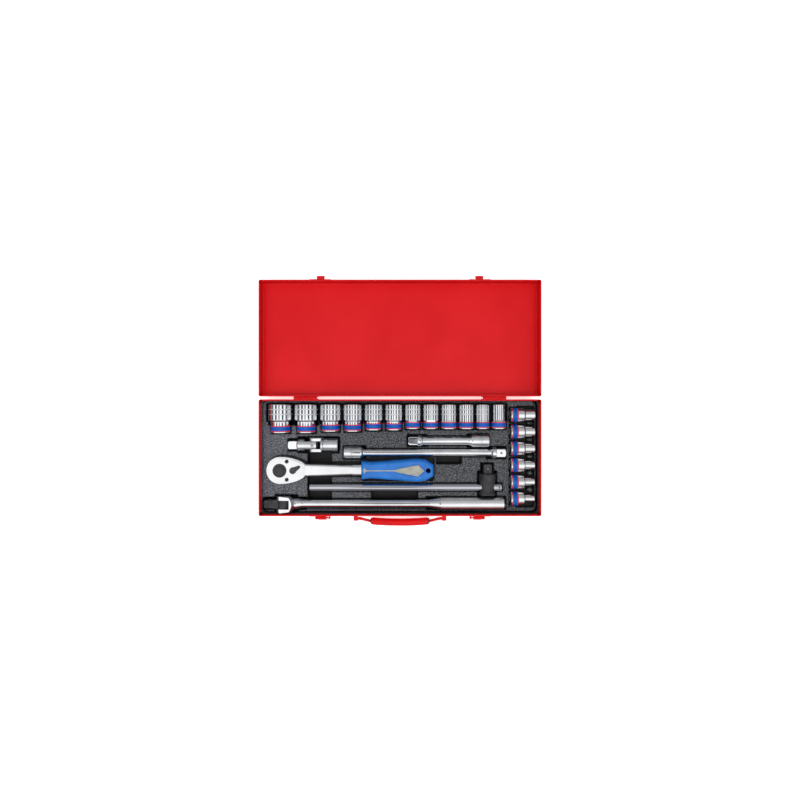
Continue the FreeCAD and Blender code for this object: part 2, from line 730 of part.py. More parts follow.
def cover_plate():
    plate = head_plan(1.6, HEAD_TOP, HEAD_TOP + COVER_T)
    plate = plate.cut(bar_z(HEAD_TOP - 1, HEAD_TOP + 5, RATCHET_X, RATCHET_Y, GEAR_HUB_R + RUN_FIT))
    plate = plate.cut(bar_z(HEAD_TOP - 1, HEAD_TOP + 5, LEVER_X, RATCHET_Y, LEVER_SHAFT_R + RUN_FIT))
    for x, y in screw_places():
        plate = plate.cut(bar_z(HEAD_TOP - 1, HEAD_TOP + 5, x, y, SCREW_R))
    return plate


def cover_screws():
    """Cheese-headed screws with a hexagon recess."""
    top = HEAD_TOP + COVER_T
    screw = turned([(HEAD_TOP, SCREW_R), (top, SCREW_R), (top, SCREW_HEAD_R), (top + 0.8, SCREW_HEAD_R),
                    (top + SCREW_HEAD_H, SCREW_HEAD_R - 0.5)])
    screw = upright(screw.cut(prism_x(6, SCREW_HEX, top + 0.3, top + 2)))
    return Part.makeCompound([placed_at(screw, x, y) for x, y in screw_places()])


def tooth_points(teeth, tip_r, root_r):
    """Corner points of a ratchet gear with flat tips, a tooth space facing +X."""
    points = []
    pitch = 2 * math.pi / teeth
    for i in range(teeth):
        for part, radius in ((-0.25, root_r), (0.25, root_r), (0.4, tip_r), (0.6, tip_r)):
            angle = (i + part) * pitch
            points.append((RATCHET_X + radius * math.cos(angle), RATCHET_Y + radius * math.sin(angle)))
    return points


def drive_gear():
    """Toothed wheel with hubs, the square drive below it, and bores for the button and the ball."""
    gear = slab(tooth_points(GEAR_TEETH, GEAR_TIP_R, GEAR_ROOT_R), GEAR_BOTTOM, GEAR_TOP)
    hub = bar_z(HUB_BOTTOM, HUB_TOP, RATCHET_X, RATCHET_Y, GEAR_HUB_R)
    square = male_square(-DRIVE_LEN, 0, -DRIVE_LEN).cut(ball_bore(-RATCHET_BALL_DOWN, REAR))
    square = placed_at(upright(square), RATCHET_X, RATCHET_Y)
    square.translate(Vector(0, 0, HUB_BOTTOM))
    body = joined([gear, hub, square])
    body = body.cut(bar_z(BUTTON_STEM_Z, HUB_TOP, RATCHET_X, RATCHET_Y, BUTTON_STEM_R + RUN_FIT))
    return body.cut(bar_z(BUTTON_HEAD_Z, HUB_TOP, RATCHET_X, RATCHET_Y, BUTTON_R + RUN_FIT))


def release_button():
    """Quick-release button: a domed head on a stem that runs down the drive."""
    play = 0.3
    top = HUB_TOP + BUTTON_TRAVEL
    head_z = BUTTON_HEAD_Z + BUTTON_TRAVEL + play
    button = turned([(BUTTON_STEM_Z + BUTTON_TRAVEL + play, BUTTON_STEM_R), (head_z, BUTTON_STEM_R),
                     (head_z, BUTTON_R), (top - 0.8, BUTTON_R), (top, BUTTON_R - 1.6)])
    return placed_at(upright(button), RATCHET_X, RATCHET_Y)


def drive_ball():
    return Part.makeSphere(BALL_R, Vector(RATCHET_X, RATCHET_Y + ball_depth(), HUB_BOTTOM - RATCHET_BALL_DOWN))


def ratchet_pawl():
    """Rocking pawl on the lever's axis, with its +Y nose in the teeth and the other nose clear."""
    angle = math.radians(PAWL_ANGLE)
    radial = Vector(math.cos(angle), math.sin(angle), 0)
    gear_axis = Vector(RATCHET_X, RATCHET_Y, 0)
    axis = Vector(LEVER_X, RATCHET_Y, 0)
    to_neutral = FreeCAD.Rotation(Vector(0, 0, 1), -PAWL_SWING)
    tip = to_neutral.multVec(gear_axis + radial * PAWL_TIP_R - axis)
    out = to_neutral.multVec(radial)
    knee = tip + out * PAWL_NOSE
    pieces = [bar_z(PAWL_Z0, PAWL_Z1, LEVER_X, RATCHET_Y, PAWL_HUB_R)]
    for side in (-1, 1):
        ends = [Vector(v.x, side * v.y, 0) for v in (tip, knee)]
        nose = [(ends[0], PAWL_TIP), (ends[1], PAWL_ARM)]
        arm = [(ends[1], PAWL_ARM), (Vector(0, 0, 0), PAWL_HUB_R * 0.8)]
        for (a, wa), (b, wb) in (nose, arm):
            run = (b - a).normalize()
            across = Vector(-run.y, run.x, 0)
            corners = [a + across * wa, b + across * wb, b - across * wb, a - across * wa]
            pieces.append(slab([(axis.x + c.x, axis.y + c.y) for c in corners], PAWL_Z0, PAWL_Z1))
        pieces.append(bar_z(PAWL_Z0, PAWL_Z1, axis.x + ends[1].x, axis.y + ends[1].y, PAWL_ARM))
    pawl = joined(pieces).cut(bar_z(PAWL_Z0, PAWL_Z1, LEVER_X, RATCHET_Y, LEVER_SHAFT_R + RUN_FIT))
    pawl.rotate(axis, Vector(0, 0, 1), PAWL_SWING)
    return pawl


def reverse_lever():
    """Shaft through the pawl and cover, with a thumb tail on top."""
    z0 = HEAD_TOP + COVER_T + 0.3
    z1 = z0 + LEVER_T
    shaft = bar_z(PAWL_Z0, z0 + 1, LEVER_X, RATCHET_Y, LEVER_SHAFT_R)
    disc = bar_z(z0, z1, LEVER_X, RATCHET_Y, LEVER_DISC_R)
    w = LEVER_DISC_R * 0.88
    tail = slab([(LEVER_X, RATCHET_Y - w), (LEVER_X + LEVER_TAIL - 2, RATCHET_Y - w / 2),
                 (LEVER_X + LEVER_TAIL, RATCHET_Y), (LEVER_X + LEVER_TAIL - 2, RATCHET_Y + w / 2),
                 (LEVER_X, RATCHET_Y + w)], z0, z1)
    lever = joined([shaft, disc, tail])
    lever.rotate(Vector(LEVER_X, RATCHET_Y, 0), Vector(0, 0, 1), LEVER_REST)
    return lever


def grip_plan():
    """Plan outline of the grip: a flared front, a waist, a swell near the end and a chamfered tail."""
    stations = [(GRIP_X0, GRIP_W0 / 2), (GRIP_WAIST_X, GRIP_WAIST_W / 2), (GRIP_MAX_X, GRIP_W1 / 2),
                (GRIP_X1 - 12, GRIP_W1 / 2 - 1.5), (GRIP_X1, GRIP_TAIL_W / 2)]
    near = [(x, RATCHET_Y - half) for x, half in stations]
    far = [(x, RATCHET_Y + half) for x, half in reversed(stations)]
    return near + far


def inlay_outline():
    y = RATCHET_Y
    return [(-7.0, y - 3.6), (GRIP_MAX_X, y - 9.8), (37.0, y - 4.0), (37.0, y + 4.0), (GRIP_MAX_X, y + 9.8),
            (-7.0, y + 3.6)]


def diamond_outline():
    y = RATCHET_Y
    return [(-54.0, y), (-51.0, y - 3.6), (-48.0, y), (-51.0, y + 3.6)]


def ratchet_grip():
    z0 = SHANK_Z - GRIP_T / 2
    z1 = SHANK_Z + GRIP_T / 2
    grip = slab(grip_plan(), z0, z1)
    rim = [e for e in grip.Edges if abs(e.Vertexes[0].Z - e.Vertexes[1].Z) < 0.01]
    grip = grip.makeFillet(GRIP_ROUND, rim)
    grip = grip.cut(bar_z(z0 - 1, z1 + 1, HANG_X, RATCHET_Y, HANG_R))
    for outline in (inlay_outline(), diamond_outline()):
        grip = grip.cut(slab(outline, z1 - INLAY_T, z1 + 1))
    return grip.cut(ratchet_body())


def grip_inlay():
    z1 = SHANK_Z + GRIP_T / 2
    pads = [slab(outline, z1 - INLAY_T, z1 + INLAY_PROUD) for outline in (inlay_outline(), diamond_outline())]
    return Part.makeCompound(pads)


# T-bar and breaker bar

def t_bar_rod():
    return placed(turned([(TBAR_X0, TBAR_R - 1), (TBAR_X0 + 1, TBAR_R), (TBAR_X1 - 1, TBAR_R), (TBAR_X1, TBAR_R - 1)]),
                  0, TBAR_Y, TOOL_Z)


def t_bar_head():
    """Sliding head: a waisted barrel across the bar, a collar and the square drive.

    Its rear is rounded about the bar so that it turns clear of its neighbours."""
    nose = THEAD_FRONT
    body = turned([(-THEAD_BACK, THEAD_FLARE_R - 0.8), (0.8 - THEAD_BACK, THEAD_FLARE_R), (-9.4, THEAD_FLARE_R),
                   (-5.0, THEAD_WAIST_R), (4.0, THEAD_WAIST_R), (THEAD_COLLAR_X, THEAD_COLLAR_R),
                   (nose - 0.8, THEAD_COLLAR_R), (nose, THEAD_COLLAR_R - 0.8)])
    reach = THEAD_FRONT + DRIVE_LEN
    swing_limit = joined([bar_y(-THEAD_R, THEAD_R, 0, 0, THEAD_SWING_R),
                          block(0, reach, -THEAD_R, THEAD_R, -THEAD_SWING_R, THEAD_SWING_R)])
    square = male_square(nose - 1, nose + DRIVE_LEN, nose + DRIVE_LEN)
    head = joined([body.common(swing_limit), square]).cut(ball_bore(nose + BALL_ALONG, UP))
    head = head.cut(bar_y(-THEAD_R, THEAD_R, 0, 0, TBAR_R + RUN_FIT))
    return placed(head, THEAD_X, TBAR_Y, TOOL_Z, 90)


def breaker_handle():
    """Fork, shank and knurled grip in one forging."""
    x = BREAKER_PIN_X
    half = FORK_W / 2
    eye = bar_y(-half, half, x, 0, FORK_R)
    cheeks = slab([(x, -half), (x + 10, -half), (FORK_END_X, -BREAKER_ROD_R), (FORK_END_X, BREAKER_ROD_R),
                   (x + 10, half), (x, half)], -FORK_R, FORK_R)
    limit = turned([(x - FORK_R, FORK_R + 6), (x + 10, FORK_R + 4), (FORK_END_X, BREAKER_ROD_R)])
    fork = joined([eye, cheeks]).common(limit)
    rod = turned([(FORK_END_X - 6, BREAKER_ROD_R), (BREAKER_GRIP_X, BREAKER_ROD_R),
                  (BREAKER_GRIP_X + 4, BREAKER_GRIP_R), (BREAKER_X1 - 3, BREAKER_GRIP_R),
                  (BREAKER_X1, BREAKER_GRIP_R - 3)])
    slot_half = KNUCKLE_W / 2 + 0.3
    slot = joined([block(x - FORK_R - 1, x, -slot_half, slot_half, -FORK_R - 7, FORK_R + 7),
                   bar_y(-slot_half, slot_half, x, 0, KNUCKLE_DISC_R + 0.5),
                   block(x, x + KNUCKLE_DISC_R, -slot_half, slot_half, -FORK_R - 7, FORK_R + 7)])
    handle = joined([fork, rod]).cut(slot)
    handle = handle.cut(bar_y(-half, half, x, 0, BREAKER_PIN_R))
    return placed(handle, 0, BREAKER_Y, TOOL_Z)


def breaker_head():
    """Swivel drive: a disc on the pin with a neck and the square."""
    x = BREAKER_PIN_X
    half = KNUCKLE_W / 2
    shoulder = BREAKER_X0 + DRIVE_LEN
    disc = bar_y(-half, half, x, 0, KNUCKLE_DISC_R)
    neck = block(shoulder, x, -half, half, -half, half)
    head = joined([disc, neck, male_square(BREAKER_X0, shoulder, BREAKER_X0)])
    head = head.cut(bar_y(-half, half, x, 0, BREAKER_PIN_R + RUN_FIT))
    head = head.cut(ball_bore(BREAKER_X0 + BALL_ALONG, REAR))
    return placed(head, 0, BREAKER_Y, TOOL_Z)


def breaker_pin():
    half = FORK_W / 2
    return bar_y(BREAKER_Y - half, BREAKER_Y + half, BREAKER_PIN_X, TOOL_Z, BREAKER_PIN_R)


# Tray

def trough_x(x0, x1, y, radius):
    """Round-bottomed trough along X under a tool of this radius, open upwards."""
    r = radius + SIDE_GAP
    z = TOOL_Z + SIDE_GAP - SEAT_GAP
    return joined([bar_x(x0, x1, y, z, r), block(x0, x1, y - r, y + r, z, ABOVE)])


def trough_y(y0, y1, x, radius):
    r = radius + SIDE_GAP
    z = TOOL_Z + SIDE_GAP - SEAT_GAP
    return joined([bar_y(y0, y1, x, z, r), block(x - r, x + r, y0, y1, z, ABOVE)])


def socket_pockets():
    """Troughs for both groups of sockets and the wide recesses that open them to each other."""
    cuts = []
    for x, (size, hex_d, drive_d, length) in zip(row_centres(), ROW_SOCKETS):
        drive_y = ROW_HEX_Y - length
        hex_y = ROW_HEX_Y - ROW_HEX_LEN
        cuts.append(trough_y(drive_y - SIDE_GAP, ROW_HEX_Y + END_GAP, x, min(hex_d, drive_d) / 2))
        if hex_d > drive_d:
            cuts.append(trough_y(drive_y + ROW_DRIVE_LEN - SIDE_GAP, ROW_HEX_Y + END_GAP, x, hex_d / 2))
        else:
            cuts.append(trough_y(drive_y - SIDE_GAP, hex_y + 2, x, drive_d / 2))
    cuts.append(block(-208.5, 167.0, 54.0, ROW_HEX_Y + END_GAP, 12.0, ABOVE))
    for i, (size, hex_d) in enumerate(SIDE_SOCKETS):
        y = side_centre(i)
        split = SIDE_DRIVE_X + SIDE_DRIVE_LEN + 3
        cuts.append(trough_x(SIDE_DRIVE_X - SIDE_GAP, split, y, SIDE_DRIVE_D / 2))
        cuts.append(trough_x(split - 1, SIDE_DRIVE_X + SIDE_LEN + SIDE_GAP, y, hex_d / 2))
    side_top = SIDE_FIRST_Y + SIDE_DRIVE_D / 2 + 3
    cuts.append(block(180.0, SIDE_DRIVE_X + SIDE_LEN + SIDE_GAP, -side_top, side_top, 16.0, ABOVE))
    return cuts


def tool_pockets():
    """Pockets of the six handles and bars."""
    square_r = MALE_CORNER_R + 0.6
    head_swing = THEAD_SWING_R + 0.4
    collar_reach = math.hypot(THEAD_FRONT, THEAD_COLLAR_R) + 0.5
    return [
        trough_x(UJ_LEFT - END_GAP, UJ_X, UJ_Y, square_r),
        trough_x(UJ_LEFT + DRIVE_LEN - SIDE_GAP, UJ_RIGHT + END_GAP, UJ_Y, UJ_TINE_R),
        block(UJ_X - UJ_TINE_R, UJ_X + UJ_REACH + 3, UJ_Y - UJ_TINE_R - SIDE_GAP, UJ_Y + UJ_TINE_R + SIDE_GAP,
              TOOL_Z - UJ_TINE_R + 4, ABOVE),
        trough_x(SHORT_LEFT - END_GAP, SHORT_LEFT + 30, SHORT_Y, square_r),
        trough_x(SHORT_LEFT, SHORT_LEFT + SHORT_LEN, SHORT_Y, SHORT_ROD_R),
        trough_x(SHORT_LEFT + SHORT_LEN - 34, SHORT_LEFT + SHORT_LEN + END_GAP, SHORT_Y, EXT_SOCKET_R),
        trough_x(LONG_LEFT - END_GAP, LONG_LEFT + 34, LONG_Y, EXT_SOCKET_R),
        trough_x(LONG_LEFT, LONG_LEFT + LONG_LEN, LONG_Y, LONG_ROD_R),
        trough_x(LONG_LEFT + LONG_LEN - 30, LONG_LEFT + LONG_LEN + END_GAP, LONG_Y, square_r),
        head_plan(-SIDE_GAP - 0.4, HEAD_BOTTOM - SEAT_GAP, ABOVE),
        bar_z(3.0, ABOVE, RATCHET_X, RATCHET_Y, GEAR_HUB_R + 0.6),
        block(RATCHET_X, GRIP_X0, RATCHET_Y - 12, RATCHET_Y + 12, HEAD_BOTTOM - SEAT_GAP, ABOVE),
        slab([(GRIP_X0 - END_GAP, RATCHET_Y - 16), (GRIP_MAX_X, RATCHET_Y - 19), (GRIP_X1 + END_GAP, RATCHET_Y - 17),
              (GRIP_X1 + END_GAP, RATCHET_Y + 17), (GRIP_MAX_X, RATCHET_Y + 19), (GRIP_X0 - END_GAP, RATCHET_Y + 16)],
             SHANK_Z - GRIP_T / 2 - SEAT_GAP, ABOVE),
        trough_x(TBAR_X0 - END_GAP, TBAR_X1 + END_GAP, TBAR_Y, TBAR_R),
        bar_x(THEAD_X - THEAD_R - 1.5, THEAD_X + THEAD_R + 1.5, TBAR_Y, TOOL_Z, head_swing),
        block(THEAD_X - THEAD_R - 1.5, THEAD_X + THEAD_R + 1.5, TBAR_Y - head_swing, TBAR_Y + collar_reach,
              TOOL_Z, ABOVE),
        trough_y(TBAR_Y, TBAR_Y + collar_reach, THEAD_X, THEAD_R),
        trough_y(TBAR_Y, TBAR_Y + THEAD_FRONT + DRIVE_LEN + END_GAP, THEAD_X, square_r),
        trough_x(BREAKER_X0 - END_GAP, BREAKER_PIN_X, BREAKER_Y, square_r),
        block(BREAKER_PIN_X - FORK_R - END_GAP, FORK_END_X + END_GAP, BREAKER_Y - FORK_W / 2 - SIDE_GAP,
              BREAKER_Y + FORK_W / 2 + SIDE_GAP, TOOL_Z - FORK_R - SEAT_GAP, ABOVE),
        trough_x(BREAKER_X0, BREAKER_X1, BREAKER_Y, BREAKER_ROD_R),
        trough_x(BREAKER_GRIP_X - END_GAP, BREAKER_X1 + END_GAP, BREAKER_Y, BREAKER_GRIP_R),
    ]


def finger_channels():
    """Recesses that let fingers reach under the handles."""
    return [
        block(-144.0, -106.0, -67.0, 7.0, 9.0, ABOVE),
        block(-45.0, 28.0, -67.0, -52.0, 10.0, ABOVE),
        block(56.0, 96.0, -12.0, 2.0, 10.0, ABOVE),
    ]


def tool_tray():
    half_x = CASE_W / 2 - SHEET - TRAY_GAP
    half_y = CASE_D / 2 - SHEET - TRAY_GAP
    tray = block(-half_x, half_x, -half_y, half_y, SHEET + 0.1, TRAY_TOP)
    tray = tray.makeFillet(TRAY_CORNER_R, [e for e in tray.Edges if e.BoundBox.ZLength > 10])
    bottom = [e for e in tray.Edges if e.BoundBox.ZMax < TRAY_TOP / 2]
    tray = tray.makeChamfer(TRAY_FOOT_CHAMFER, bottom)
    for cut in socket_pockets() + tool_pockets() + finger_channels():
        tray = tray.cut(cut)
    return tray.removeSplitter()


def build():
    os.makedirs("parts", exist_ok=True)
    save(sheet_pan(BASE_H), "base_pan")
    save(placed(sheet_pan(LID_H), 0, LID_Y, LID_Z), "lid_pan")
    rear = CASE_D / 2
    save(mirrored_pair(hinge_leaf(0, rear, rear + LEAF_T)), "hinge_base_leaves")
    save(mirrored_pair(hinge_leaf(1, LID_Y - rear - LEAF_T, LID_Y - rear)), "hinge_lid_leaves")
    save(mirrored_pair(hinge_pin()), "hinge_pins")
    save(mirrored_pair(latch_plate()), "latch_plates")
    save(mirrored_pair(latch_pin()), "latch_pins")
    save(latch_lever(-LATCH_X), "latch_lever_left")
    save(latch_lever(LATCH_X), "latch_lever_right")
    save(mirrored_pair(lid_catch()), "lid_catches")
    save(mirrored_pair(handle_bracket()), "handle_brackets")
    save(base_rivets(), "base_rivets")
    save(lid_rivets(), "lid_rivets")
    save(handle_bail(), "handle_bail")
    save(handle_grip(), "handle_grip")
    save(tool_tray(), "tool_tray")
    for x, (size, hex_d, drive_d, length) in zip(row_centres(), ROW_SOCKETS):
        body = socket(size, hex_d, drive_d, length, ROW_DRIVE_LEN, ROW_HEX_LEN)
        save(placed(body, x, ROW_HEX_Y - length, TOOL_Z, 90), "socket_%02d" % size)
    for i, (size, hex_d) in enumerate(SIDE_SOCKETS):
        body = socket(size, hex_d, SIDE_DRIVE_D, SIDE_LEN, SIDE_DRIVE_LEN, SIDE_HEX_LEN)
        save(placed(body, SIDE_DRIVE_X, side_centre(i), TOOL_Z), "socket_%02d" % size)
    save(in_uj(uj_drive_fork()), "uj_drive_fork")
    save(in_uj(uj_socket_fork()), "uj_socket_fork")
    save(in_uj(uj_cross()), "uj_cross")
    save(in_uj(uj_pins()), "uj_pins")
    save(extension_short(), "extension_short")
    save(placed(ball_at(BALL_ALONG, REAR), SHORT_LEFT, SHORT_Y, TOOL_Z), "extension_short_ball")
    save(extension_long(), "extension_long")
    save(placed(ball_at(BALL_ALONG, UP), LONG_LEFT + LONG_LEN, LONG_Y, TOOL_Z, 180), "extension_long_ball")
    save(ratchet_body(), "ratchet_body")
    save(drive_gear(), "ratchet_drive_gear")
    save(ratchet_pawl(), "ratchet_pawl")
    save(reverse_lever(), "reverse_lever")
    save(cover_plate(), "cover_plate")
    save(cover_screws(), "cover_screws")
    save(release_button(), "release_button")
    save(drive_ball(), "ratchet_drive_ball")
    save(ratchet_grip(), "ratchet_grip")
    save(grip_inlay(), "grip_inlay")
    save(t_bar_rod(), "t_bar_rod")
    save(t_bar_head(), "t_bar_head")
    save(placed(ball_at(THEAD_FRONT + BALL_ALONG, UP), THEAD_X, TBAR_Y, TOOL_Z, 90), "t_head_ball")
    save(breaker_handle(), "breaker_handle")
    save(breaker_head(), "breaker_head")
    save(breaker_pin(), "breaker_pin")
    save(placed(ball_at(BREAKER_X0 + BALL_ALONG, REAR), 0, BREAKER_Y, TOOL_Z), "breaker_ball")


build()
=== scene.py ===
# %% [markdown]
# # A socket wrench set in its open case
# A red sheet-metal case lies open on a pale floor, with a black moulded tray full of chrome tools.
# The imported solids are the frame: every piece made here sits where one of them says.
# Small turned parts are drawn again with finer rims and bands, pressed and forged parts keep their solids
# with softer edges, and what repeats (rivets, screws, the knurl) comes from Geometry Nodes.

# %% Load the frame
import json
import math

import bmesh
import bpy
import numpy as np
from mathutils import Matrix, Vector


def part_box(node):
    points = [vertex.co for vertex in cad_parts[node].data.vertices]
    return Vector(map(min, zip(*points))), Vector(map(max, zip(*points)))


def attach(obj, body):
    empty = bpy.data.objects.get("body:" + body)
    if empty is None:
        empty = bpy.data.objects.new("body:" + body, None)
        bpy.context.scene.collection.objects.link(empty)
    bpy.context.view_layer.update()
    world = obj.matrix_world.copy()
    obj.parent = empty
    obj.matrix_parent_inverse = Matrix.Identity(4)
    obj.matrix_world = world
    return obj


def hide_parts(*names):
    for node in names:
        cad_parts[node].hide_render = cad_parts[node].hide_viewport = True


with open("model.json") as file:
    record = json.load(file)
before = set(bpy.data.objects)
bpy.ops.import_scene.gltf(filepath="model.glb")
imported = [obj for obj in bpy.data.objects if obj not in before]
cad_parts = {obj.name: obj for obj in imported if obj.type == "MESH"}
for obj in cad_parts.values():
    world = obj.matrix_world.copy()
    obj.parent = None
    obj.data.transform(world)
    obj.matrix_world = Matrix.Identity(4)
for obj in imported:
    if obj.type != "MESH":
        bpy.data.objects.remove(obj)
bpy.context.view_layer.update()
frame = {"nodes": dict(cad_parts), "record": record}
nodes = frame["nodes"]
MM = 0.001

# %% [markdown]
# ## Finishes
# Finishes, the room and the knurl are all trees of nodes, so a few helpers serve them all.

# %% Helpers for node trees
def connect(tree, value, socket):
    """Link the output of a node to a socket, or set a plain value on it."""
    if hasattr(value, "is_linked"):
        tree.links.new(value, socket)
    else:
        socket.default_value = value


def fill(tree, node, inputs):
    for name, value in inputs.items():
        connect(tree, value, node.inputs[name.replace("_", " ")])
    return node


def add_node(tree, kind, **inputs):
    return fill(tree, tree.nodes.new(kind), inputs)


def blend(tree, factor, a, b, way="MIX"):
    """Colour a where the factor is 0 and b where it is 1."""
    mix = tree.nodes.new("ShaderNodeMix")
    mix.data_type = "RGBA"
    mix.blend_type = way
    return fill(tree, mix, {"Factor": factor, "A": a, "B": b}).outputs["Result"]


def spread(tree, value, low, high, to_low=0.0, to_high=1.0):
    """The value's range from low to high, laid out from to_low to to_high."""
    node = add_node(tree, "ShaderNodeMapRange", Value=value, From_Min=low, From_Max=high,
                    To_Min=to_low, To_Max=to_high)
    return node.outputs["Result"]


def colour_ramp(tree, source, stops):
    """Colour that follows the source through stops of (place, colour)."""
    stops = list(stops)
    ramp = add_node(tree, "ShaderNodeValToRGB", Fac=source)
    elements = ramp.color_ramp.elements
    while len(elements) < len(stops):
        elements.new(0.5)
    for element, (place, colour) in zip(elements, stops):
        element.position = place
        element.color = colour
    return ramp.outputs["Color"]


def tone(red, green, blue):
    """Linear colour of a picture colour from 0 to 255."""
    values = [c / 255 for c in (red, green, blue)]
    return [c / 12.92 if c <= 0.04045 else ((c + 0.055) / 1.055) ** 2.4 for c in values] + [1.0]


print("mid grey:", round(tone(128, 128, 128)[0], 3))

# %% [markdown]
# A finish is one Principled shader plus a little noise, because no real surface is a single flat colour.
# The noise reads Object coordinates and counts grains per metre, so it has one size on every piece.

# %% What a finish is
TONE_NOISE = (0.35, 0.65)
GLOSS_NOISE = (0.3, 0.7)


class Finish:
    def __init__(self, name, colour, metallic, roughness, **sockets):
        self.material = bpy.data.materials.new(name)
        self.material.use_nodes = True
        self.tree = self.material.node_tree
        self.shader = self.tree.nodes["Principled BSDF"]
        self.place = self.tree.nodes.new("ShaderNodeTexCoord").outputs["Object"]
        self.set(Base_Color=tone(*colour), Metallic=metallic, Roughness=roughness, **sockets)

    def set(self, **sockets):
        fill(self.tree, self.shader, sockets)
        return self

    def noise(self, grains, detail=2.0):
        texture = add_node(self.tree, "ShaderNodeTexNoise", Vector=self.place, Scale=grains, Detail=detail)
        return texture.outputs["Fac"]

    def two_tones(self, grains, low_tone, high_tone, detail=2.0):
        stops = zip(TONE_NOISE, (tone(*low_tone), tone(*high_tone)))
        return self.set(Base_Color=colour_ramp(self.tree, self.noise(grains, detail), stops))

    def uneven_gloss(self, grains, low, high):
        return self.set(Roughness=spread(self.tree, self.noise(grains), *GLOSS_NOISE, low, high))

    def grain(self, grains, depth, strength):
        bump = add_node(self.tree, "ShaderNodeBump", Height=self.noise(grains), Distance=depth,
                        Strength=strength)
        return self.set(Normal=bump.outputs["Normal"])


print("noise in use:", TONE_NOISE, GLOSS_NOISE)

# %% [markdown]
# The case is stoved red enamel: even, glossy, with a faint orange peel. The tools are bright chrome, which
# shows almost only what stands around it. The ratchet is satin, and the sliding bar is a little darker.

# %% Enamel and metals
red_enamel = Finish("red_enamel", (218, 24, 30), 0.0, 0.34, Specular_IOR_Level=0.14)
red_enamel.two_tones(14, (214, 20, 26), (222, 26, 32), detail=3).grain(900, 0.00003, 0.2)

chrome = Finish("bright_chrome", (228, 230, 234), 1.0, 0.1)
chrome.two_tones(45, (222, 224, 228), (236, 238, 240)).uneven_gloss(90, 0.05, 0.1)

satin_chrome = Finish("satin_chrome", (244, 245, 247), 1.0, 0.28)
satin_chrome.two_tones(60, (240, 241, 243), (248, 249, 250)).uneven_gloss(70, 0.27, 0.31)

frosted = Finish("frosted_chrome", (244, 245, 247), 1.0, 0.5).uneven_gloss(300, 0.45, 0.6)
dark_chrome = Finish("dark_chrome", (194, 196, 204), 1.0, 0.07).uneven_gloss(90, 0.05, 0.09)
steel = Finish("plain_steel", (170, 170, 172), 1.0, 0.3).uneven_gloss(300, 0.24, 0.4)
brass = Finish("brass", (205, 160, 80), 1.0, 0.22).uneven_gloss(500, 0.16, 0.3)

black_phosphate = Finish("black_phosphate", (52, 52, 54), 0.35, 0.45)
black_phosphate.two_tones(120, (46, 46, 48), (66, 66, 68), detail=4).grain(2200, 0.00004, 0.4)
print("enamel and metals:", len(bpy.data.materials))

# %% [markdown]
# Mouldings are matt and slightly grained. The painted rings on the sockets are smooth and a little glossy.

# %% Mouldings and rings
black_moulding = Finish("black_moulding", (52, 53, 55), 0.0, 0.45)
black_moulding.two_tones(90, (44, 45, 47), (64, 65, 67)).grain(1800, 0.00003, 0.3)

blue_moulding = Finish("blue_moulding", (14, 112, 202), 0.0, 0.38)
blue_moulding.two_tones(60, (10, 106, 196), (20, 120, 210)).grain(1600, 0.00004, 0.3)

grey_moulding = Finish("grey_moulding", (168, 168, 158), 0.0, 0.55)
grey_moulding.two_tones(150, (158, 158, 148), (178, 178, 168)).grain(1600, 0.00004, 0.3)

red_ring = Finish("red_ring", (222, 30, 44), 0.0, 0.25, Specular_IOR_Level=0.3)
red_ring.two_tones(80, (214, 26, 40), (230, 36, 50))
blue_ring = Finish("blue_ring", (0, 88, 180), 0.0, 0.25, Specular_IOR_Level=0.3)
blue_ring.two_tones(80, (0, 82, 174), (2, 94, 188))
print("with mouldings and rings:", len(bpy.data.materials))

# %% [markdown]
# The tray is a black moulding with a leather grain. Its flats carry a speckle with a painted grey sheen, and
# its pockets are painted near black as painted shade, so its tone follows the height. Its left end carries a
# stronger painted sheen.

# %% Tray plastic
TRAY_DEEP = 0.0190
TRAY_FLAT = 0.0221
STRONG_SHEEN_UNTIL_X = -0.205
MILD_SHEEN_FROM_X = -0.06
GRIT_NOISE = (0.42, 0.68)
tray_plastic = Finish("tray_plastic", (60, 60, 62), 0.0, 0.6)
tray_tree = tray_plastic.tree
place = add_node(tray_tree, "ShaderNodeSeparateXYZ", Vector=tray_plastic.place).outputs
grit = tray_plastic.noise(620, 3)
# Speckled grain under a painted grey sheen: stronger painted sheen at the left end, milder elsewhere.
strong_sheen_tones = (tone(56, 58, 63), tone(140, 144, 154))
mild_sheen_tones = (tone(22, 23, 25), tone(116, 118, 124))
strong_sheen_end = colour_ramp(tray_tree, grit, zip(GRIT_NOISE, strong_sheen_tones))
mild_sheen_end = colour_ramp(tray_tree, grit, zip(GRIT_NOISE, mild_sheen_tones))
# The painted sheen fades from the strong left end to the milder middle.
flats = blend(tray_tree, spread(tray_tree, place["X"], STRONG_SHEEN_UNTIL_X, MILD_SHEEN_FROM_X), strong_sheen_end, mild_sheen_end)
# Pockets are painted near black as painted shade, up to the height of the flats.
out_of_pocket_shade = spread(tray_tree, place["Z"], TRAY_DEEP, TRAY_FLAT)
tray_plastic.set(Base_Color=blend(tray_tree, out_of_pocket_shade, tone(10, 10, 11), flats))
tray_plastic.grain(1100, 0.0001, 0.5)
print("finishes:", len(bpy.data.materials))

# %% [markdown]
# Every solid gets the finish of its slot. The pins of latches and hinges were painted with the case.

